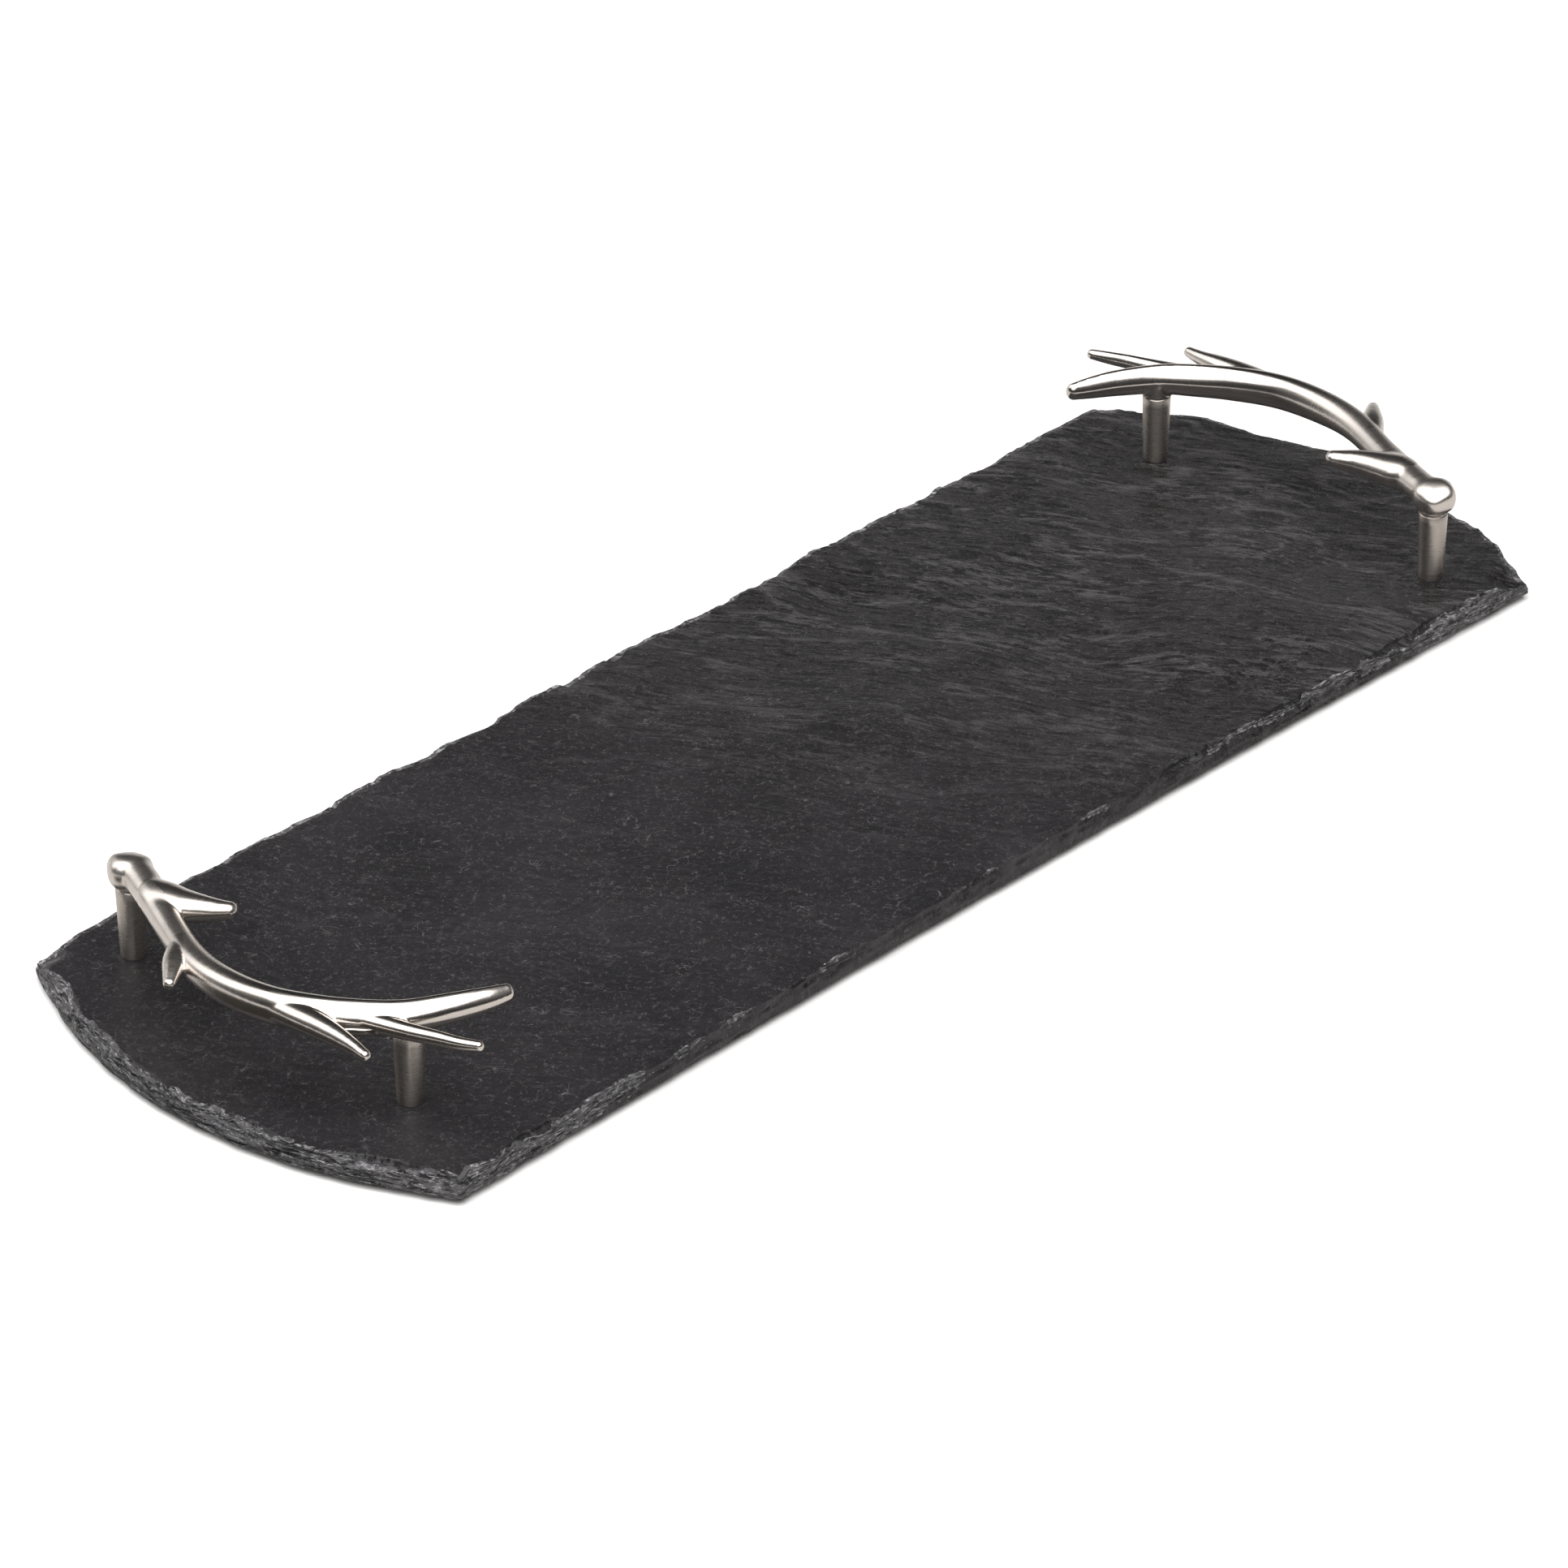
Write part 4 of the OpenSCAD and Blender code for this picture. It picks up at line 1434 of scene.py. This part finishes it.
        # The outer face leans back to a crisp edge in the tip half, and stands steep before it
        leaning = smoothstep(0.45, 0.6, share) if name == "beam" else 0.0
        steep = float(name in (MIDDLE.name, FORK.name))
        if name == "beam":
            steep = smoothstep(0.12, 0.3, share) * (1 - smoothstep(0.4, 0.56, share))
        across, high = np.cos(turn), np.sin(turn)
        upper, outer = high > 0, across < 0
        upper_softness = np.where(outer, 2.1 - 0.4 * leaning + 0.4 * steep, 2 - 0.55 * edged)
        softness = np.where(upper, upper_softness, 2 + 0.15 * edged)
        wide = np.sign(across) * np.abs(across) ** (2 / softness)
        tall = np.sign(high) * np.abs(high) ** (2 / softness)
        return wide + self.ridge_shift * edged * np.clip(tall, 0, 1) ** 2, tall

    def limb(self, name: str, rows: np.ndarray) -> bpy.types.Object:
        """Models one limb: a grid that is rolled up, with its rings laid along the limb's middle line.

        Args:
            name: The limb's name.
            rows: Place, half width and half depth at each ring.

        Returns:
            The limb, in millimetres about the middle of the posts' line.
        """
        heading = headings(rows[:, :3])
        end = heading[-1]
        dome = max(self.point_r_mm, 0.95 * rows[-1, 3])
        rows = rows.copy()
        late = smoothstep(0.5, 1.0, np.linspace(0, 1, len(rows)))[:, None]
        rows[:, :3] -= end * (dome - self.point_r_mm) * late
        last = rows[-1]
        rounded = [
            np.array([*(last[:3] + end * dome * math.sin(t)), last[3] * math.cos(t), last[4] * math.cos(t)])
            for t in (math.pi / 2 * k / (self.domes + 0.3) for k in range(1, self.domes + 1))
        ]
        rings = np.vstack([rows, rounded])
        ways = np.vstack([heading, np.repeat(end[None], self.domes, 0)])
        deselect_all()
        bpy.ops.mesh.primitive_grid_add(x_subdivisions=self.sides, y_subdivisions=len(rings) - 1, size=2)
        limb = bpy.context.object
        limb.name = "limb_" + name
        p = points_of(limb)
        turn = np.round((p[:, 0] + 1) / 2 * self.sides) / self.sides * 2 * math.pi
        ring = np.clip(np.round((p[:, 1] + 1) / 2 * (len(rings) - 1)).astype(int), 0, len(rings) - 1)
        side = np.cross([0, 0, 1], ways)
        side /= np.linalg.norm(side, axis=1)[:, None]
        up = np.cross(ways, side)
        r = rings[ring]
        wide, tall = self.section(name, turn, ring / (len(rings) - 1))
        wide, tall = (r[:, 3] * wide)[:, None], (r[:, 4] * tall)[:, None]
        move_points(limb, r[:, :3] + side[ring] * wide + up[ring] * tall)
        bpy.ops.object.mode_set(mode="EDIT")
        bpy.ops.mesh.select_all(action="SELECT")
        bpy.ops.mesh.remove_doubles(threshold=1e-4)
        bpy.ops.mesh.select_all(action="DESELECT")
        bpy.ops.mesh.select_non_manifold()
        bpy.ops.mesh.edge_face_add()
        bpy.ops.mesh.select_all(action="SELECT")
        bpy.ops.mesh.normals_make_consistent(inside=False)
        bpy.ops.object.mode_set(mode="OBJECT")
        return limb

    def burr(self) -> bpy.types.Object:
        """Models the burr, a full, faintly lobed bun round the thick end of the beam.

        Returns:
            The burr, in millimetres about the middle of the posts' line.
        """
        deselect_all()
        bpy.ops.mesh.primitive_uv_sphere_add(segments=96, ring_count=64, radius=1)
        bun = bpy.context.object
        p = points_of(bun)
        flat = np.hypot(p[:, 0], p[:, 1])
        turn = np.arctan2(p[:, 1], p[:, 0])
        full = 2 / self.burr_fullness
        lobes = 1 - self.lobe_depth * (1 + np.cos(self.burr_lobes * turn))
        r = self.burr_spread * self.burr_d_mm / 2 * flat**full * lobes
        z = self.burr_height_mm / 2 * (1 + np.sign(p[:, 2]) * np.abs(p[:, 2]) ** full)
        move_points(bun, columns(r * np.cos(turn), r * np.sin(turn) + PLAN.half_spacing_mm, z))
        return bun

    def brushing(self, points: np.ndarray) -> tuple[np.ndarray, np.ndarray]:
        """Where each point lies on its limb, for the brush strokes, and how satin it is.

        Args:
            points: Points in millimetres about the middle of the posts' line.

        Returns:
            Run along the limb and place in its section, and the share of the satin brushing.
        """
        limb_shift = 300
        polishes = {tine.name: tine.polish for tine in self.tines}
        best = np.full(len(points), np.inf)
        brush = np.zeros((len(points), 3))
        satin = np.ones(len(points))
        for index, (name, rows) in enumerate(self.limbs().items()):
            middle = rows[:, :3]
            runs = np.concatenate([[0], np.cumsum(np.linalg.norm(np.diff(middle, axis=0), axis=1))])
            gaps = ((points[:, None, :2] - middle[None, :, :2]) ** 2).sum(2)
            nearest = gaps.argmin(1)
            row = rows[nearest]
            heading = headings(middle)
            off = points - row[:, :3]
            size = np.sqrt(gaps.min(1)) / row[:, 3]
            run = runs[nearest] + (off * heading[nearest]).sum(1)
            side = np.cross([0, 0, 1], heading)[nearest]
            closer = size < best
            best = np.where(closer, size, best)
            local = columns(run + limb_shift * index, (off * side).sum(1), off[:, 2])
            brush = np.where(closer[:, None], local, brush)
            polish = smoothstep(*self.polish_span, run / runs[-1]) if name == "beam" else polishes[name]
            satin = np.where(closer, 1 - self.polish_share * polish, satin)
        return brush, satin

    def blend(self, casting: bpy.types.Object, places: Sequence[Sequence[float]], iterations: int) -> None:
        """Lets limbs flow into each other round some places.

        Args:
            casting: The joined casting.
            places: For each, its place, its reach and the strength from 0 to 1.
            iterations: How often the surface is smoothed there.
        """
        points = points_of(casting)
        weight = np.zeros(len(points))
        for x, y, z, reach, full in places:
            away = np.linalg.norm(points - (x, y, z), axis=1)
            weight = np.maximum(weight, full * smoothstep(reach, reach * 0.45, away))
        # The seat on the post stays flat
        weight *= smoothstep(0.2, 1.6, points[:, 2])
        group = casting.vertex_groups.new(name="blend")
        for tenth in range(1, 11):
            chosen = np.flatnonzero(np.round(weight * 10) == tenth)
            group.add([int(i) for i in chosen], tenth / 10, "REPLACE")
        apply_modifier(casting, "SMOOTH", factor=0.5, iterations=iterations, vertex_group="blend")
        casting.vertex_groups.remove(casting.vertex_groups["blend"])

    def facet(self, casting: bpy.types.Object) -> None:
        """Flattens the end of the burr to a soft oval face that looks up and inwards.

        Args:
            casting: The joined casting.
        """
        way = np.array(Vector(self.facet_way).normalized())
        points = points_of(casting)
        middle = np.array([0, PLAN.half_spacing_mm, self.burr_height_mm / 2])
        over = np.clip((points - middle) @ way - self.facet_away_mm, 0, None)
        near = np.linalg.norm(points - middle, axis=1) < 1.5 * self.burr_d_mm / 2
        move_points(casting, points - way * (self.facet_press * over * near)[:, None])

    def groove(self, casting: bpy.types.Object) -> None:
        """Hollows the outer side of the beam between the middle tine and the fork, under a sharp brim.

        Args:
            casting: The joined casting.
        """
        beam = self.beam_table()
        shares = np.linspace(*self.groove_span, self.groove_steps)
        rows = np.array([self.on_curve(beam, share) for share in shares])
        taper = np.sin(np.linspace(0.12, math.pi - 0.12, len(rows))) ** 0.6
        side = np.cross([0, 0, 1], headings(rows[:, :3]))
        rows[:, :3] -= side * (rows[:, 3] * 1.12)[:, None]
        rows[:, 2] -= self.groove_drop_mm + 0.25 * fractal(rows[:, :3], self.groove_rough_mm, 2)
        rows[:, 3:] = np.outer(taper, self.groove_half_mm)
        cut_away(casting, self.limb("groove", rows))

    def cast(self) -> bpy.types.Object:
        """Joins the limbs, the burr and the bosses into one smooth casting and bores it.

        Returns:
            The left casting, in millimetres about the middle of the posts' line.
        """
        parts = [self.limb(name, rows) for name, rows in self.limbs().items()] + [self.burr()]
        for post in Post:
            deselect_all()
            bpy.ops.mesh.primitive_cone_add(
                vertices=96,
                radius1=self.boss_d_mm / 2 - 0.1,
                radius2=self.boss_d_mm / 2 * self.boss_taper,
                depth=self.boss_height_mm,
                location=(0, post.side * PLAN.half_spacing_mm, self.boss_height_mm / 2),
            )
            parts.append(bpy.context.object)
        for part in parts:
            rest_place(part)
        deselect_all()
        for part in parts:
            part.select_set(True)
        bpy.context.view_layer.objects.active = parts[0]
        bpy.ops.object.join()
        casting = bpy.context.object
        apply_modifier(casting, "REMESH", mode="VOXEL", voxel_size=self.voxel_mm, use_smooth_shade=True)
        self.blend(casting, self.blends, self.blend_rounds)
        self.facet(casting)
        self.blend(casting, self.facet_blends, self.facet_rounds)
        self.groove(casting)
        apply_modifier(casting, "SMOOTH", factor=0.5, iterations=self.last_rounds)
        for post in Post:
            place = (0, post.side * PLAN.half_spacing_mm)
            drill(casting, self.bore_r_mm, self.bore_start_mm, self.bore_depth_mm, place)
        return casting

    def build(self) -> list[bpy.types.Object]:
        """Models the left casting, copies it for the right end and dresses both.

        Returns:
            The two castings.
        """
        casting = self.cast()
        x, y, z = points_of(casting).T
        top = self.burr_height_mm - self.crown_mm
        z = np.where(z > top, top + self.crown_give_mm * np.tanh((z - top) / self.crown_give_mm), z)
        brush, satin = self.brushing(columns(x, y, z))
        material = BrushedNickel().build()
        pieces = [casting, copy_piece(casting)]
        for piece, end in zip(pieces, End):
            place = (end.sign * (x - PLAN.end_x_mm), end.sign * (y + PLAN.shift_mm), z + self.seat_mm)
            move_points(piece, columns(*place) * MM)
            piece.name = piece.data.name = end.value + "_antler"
            store(piece, "brush", brush)
            store(piece, "satin", satin)
            finish_piece(piece, self.sharp_deg, material, end.value + "_antler_handle")
        return pieces


# The posts


@dataclass
class HandlePosts:
    """Four turned posts, a little wider at the head than at the foot."""

    foot_d_mm: float = 9.2
    head_d_mm: float = 10.6
    height_mm: float = 26.5
    chamfer_mm: float = 0.3
    bore_r_mm: float = 2.3
    bottom_mm: float = 10.5
    sides: int = 96
    steps: int = 8
    sharp_deg: float = 50.0

    def turn(self) -> bpy.types.Object:
        """Models one post about the origin by drawing a circle up through its profile.

        Returns:
            The post, in metres.
        """
        foot, head, c, steps = self.foot_d_mm / 2, self.head_d_mm / 2, self.chamfer_mm, self.steps
        profile = [(foot - c, 0.0), (foot - 0.4 * c, 0.15 * c), (foot, c)]
        profile += [
            (foot + (head - foot) * k / steps, c + (self.height_mm - 2 * c) * k / steps)
            for k in range(1, steps + 1)
        ]
        profile += [(head - 0.6 * c, self.height_mm - 0.15 * c), (head - c, self.height_mm)]
        deselect_all()
        bpy.ops.mesh.primitive_circle_add(
            vertices=self.sides, radius=profile[0][0] * MM, fill_type="NGON", location=(0, 0, 0)
        )
        post = bpy.context.object
        bpy.ops.object.mode_set(mode="EDIT")
        bpy.ops.mesh.select_all(action="SELECT")
        for (r0, z0), (r1, z1) in zip(profile, profile[1:]):
            bpy.ops.mesh.extrude_region_move(TRANSFORM_OT_translate={"value": (0, 0, (z1 - z0) * MM)})
            bpy.ops.transform.resize(value=(r1 / r0, r1 / r0, 1), center_override=(0, 0, z1 * MM))
        bpy.ops.mesh.select_all(action="SELECT")
        bpy.ops.mesh.normals_make_consistent(inside=False)
        bpy.ops.object.mode_set(mode="OBJECT")
        drill(post, self.bore_r_mm * MM, -self.height_mm / 2 * MM, self.height_mm * 1.5 * MM)
        return post

    def build(self) -> list[bpy.types.Object]:
        """Models one post, copies it to its four places and dresses them.

        Returns:
            The four posts.
        """
        first = self.turn()
        base = points_of(first)
        material = TurnedNickel().build()
        made = []
        for end in End:
            for post in Post:
                piece = copy_piece(first)
                name = f"{end.value}_{post.value}_post"
                piece.name = piece.data.name = "turned_" + name
                move_points(piece, base + np.array([*PLAN.place(end, post), self.bottom_mm]) * MM)
                finish_piece(piece, self.sharp_deg, material, name)
                made.append(piece)
        bpy.data.objects.remove(first)
        return made


def dress_frame_nodes() -> None:
    """Gives the screws, washers and feet of the frame their materials."""
    steel, rubber = ZincSteel().build(), MattRubber().build()
    for name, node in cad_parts.items():
        if name.startswith("foot_"):
            dress(node, rubber)
        elif name.endswith(("_screw", "_washer")):
            dress(node, steel)


# The studio


@dataclass
class Studio:
    """A pale floor, soft light from above and all round, and the camera."""

    floor_m: float = 14.0
    target: tuple[float, float, float] = (-0.009066, 0.002797, 0.0025)
    azimuth_deg: float = -46.735
    elevation_deg: float = 30.629
    distance_m: float = 2.84356
    lens_mm: float = 187.3
    sensor_mm: float = 36.0
    roll_deg: float = -0.077
    # Soft round lights: strength, half angle, and place: left of the view, away from it, up
    lights: Sequence[tuple[float, float, tuple[float, float, float]]] = (
        (3.0, 39.0, (0.0, -0.36, 0.93)),
        (1.6, 23.0, (0.5, 0.1, 0.86)),
        (1.7, 20.0, (0.75, 0.25, 0.64)),
        (0.75, 17.0, (0.72, 0.52, 0.45)),
    )
    light_edge_deg: float = 4.0
    light_colour: tuple[float, float, float, float] = (1, 0.99, 0.98, 1)
    # The sky's strength overhead and at the horizon, its shares near the camera and behind the board
    grey: float = 0.26
    horizon: float = 0.09
    near_share: float = 0.4
    far_share: float = 0.12
    backdrop: float = 0.5

    def back(self) -> Vector:
        """The unit vector from the target to the camera."""
        a, e = math.radians(self.azimuth_deg), math.radians(self.elevation_deg)
        return Vector((math.sin(a) * math.cos(e), -math.cos(a) * math.cos(e), math.sin(e)))

    def floor(self) -> None:
        """Lays the floor."""
        deselect_all()
        bpy.ops.mesh.primitive_plane_add(size=self.floor_m, location=(0, 0, 0))
        floor = bpy.context.object
        floor.name = "floor"
        dress(floor, PaleFloor().build())

    def glow(self, add: NodeAdder, way: Source, level: Vector) -> bpy.types.Node:
        """Adds the soft round lights.

        Args:
            add: Adds a node to the world's tree.
            way: The direction that is looked up.
            level: The level unit vector towards the camera.

        Returns:
            Their strength.
        """
        left = Vector((level.y, -level.x, 0))
        glow = None
        for strength, half, (to_left, away, up) in self.lights:
            aim = (left * to_left - level * away + Vector((0, 0, up))).normalized()
            outer = math.cos(math.radians(half + self.light_edge_deg))
            inner = math.cos(math.radians(half - self.light_edge_deg))
            into = add("VectorMath", {"operation": "DOT_PRODUCT", 1: tuple(aim)}, {0: way})
            edge = {"From Min": outer, "From Max": inner, "To Max": strength}
            box = add("MapRange", {"interpolation_type": "SMOOTHSTEP", **edge}, {"Value": into})
            glow = add("Math", {"operation": "MAXIMUM"}, {0: glow, 1: box}) if glow else box
        return glow

    def light(self) -> None:
        """Sets the sky: soft round lights, grey elsewhere, dark low down, and a white backdrop behind."""
        world = bpy.data.worlds.new("studio")
        bpy.context.scene.world = world
        world.use_nodes = True
        world.node_tree.nodes.clear()
        add = partial(add_node, world.node_tree)
        way = add("TexCoord").outputs["Generated"]
        height = add("SeparateXYZ", {}, {"Vector": way}).outputs["Z"]
        back = self.back()
        level = Vector((back.x, back.y, 0)).normalized()
        glow = self.glow(add, way, level)
        towards = add("VectorMath", {"operation": "DOT_PRODUCT", 1: (level.x, level.y, 0)}, {0: way})

        # Each fade: what it goes by, where it starts and ends, and its strength there
        rise, near, far, low, behind = (
            add(
                "MapRange",
                {
                    "interpolation_type": "SMOOTHSTEP",
                    "From Min": start,
                    "From Max": end,
                    "To Min": first,
                    "To Max": last,
                },
                {"Value": value},
            )
            for value, start, end, first, last in (
                (height, 0.15, 0.75, self.horizon, self.grey),
                (towards, 0.2, 0.7, 1.0, self.near_share),
                (towards, -0.35, -0.6, 1.0, self.far_share),
                (height, 0.29, 0.22, 0.0, 1.0),
                (towards, 0.1, -0.3, 0.0, 1.0),
            )
        )
        sky = add("Math", {"operation": "MULTIPLY"}, {0: rise, 1: near})
        sky = add("Math", {"operation": "MULTIPLY"}, {0: sky, 1: far})
        wall = add("Math", {"operation": "MULTIPLY"}, {0: low, 1: behind})
        sky = add("Math", {"operation": "MULTIPLY_ADD", 1: self.backdrop}, {0: wall, 2: sky})
        sky = add("Math", {"operation": "ADD"}, {0: glow, 1: sky})
        ground = {"From Min": -0.02, "From Max": 0.0, "To Min": 1.0, "To Max": 0.0}
        under = add("MapRange", ground, {"Value": height})
        strength = add("Math", {"operation": "MAXIMUM"}, {0: sky, 1: under})
        seen = add("LightPath").outputs["Is Camera Ray"]
        lit = add("Background", {"Color": self.light_colour}, {"Strength": strength})
        plain = add("Background", {"Color": (1, 1, 1, 1), "Strength": 1.0})
        both = add("MixShader", {}, {0: seen, 1: lit, 2: plain})
        add("OutputWorld", {}, {"Surface": both})

    def camera(self) -> None:
        """Puts the camera at the photograph's angle."""
        data = bpy.data.cameras.new("camera")
        data.lens, data.sensor_width = self.lens_mm, self.sensor_mm
        data.clip_start, data.clip_end = 0.1, 50
        camera = bpy.data.objects.new("camera", data)
        bpy.context.scene.collection.objects.link(camera)
        back = self.back()
        camera.location = Vector(self.target) + back * self.distance_m
        camera.rotation_euler = (-back).to_track_quat("-Z", "Y").to_euler()
        camera.rotation_euler.rotate_axis("Z", math.radians(self.roll_deg))
        bpy.context.scene.camera = camera

    def build(self) -> None:
        """Sets up the whole studio."""
        self.camera()
        self.floor()
        self.light()
        bpy.context.scene.view_settings.view_transform = "Standard"
        bpy.context.scene.view_settings.look = "None"


def main() -> None:
    """Builds the studio and every piece, and reports each."""
    logging.basicConfig(level=logging.INFO, format="%(message)s")
    Studio().build()
    for part in (SlateSlab(), AntlerHandle(), HandlePosts()):
        for piece in part.build():
            log.info("%s: %d vertices", piece.name, len(piece.data.vertices))
    dress_frame_nodes()


if __name__ == "__main__":
    main()
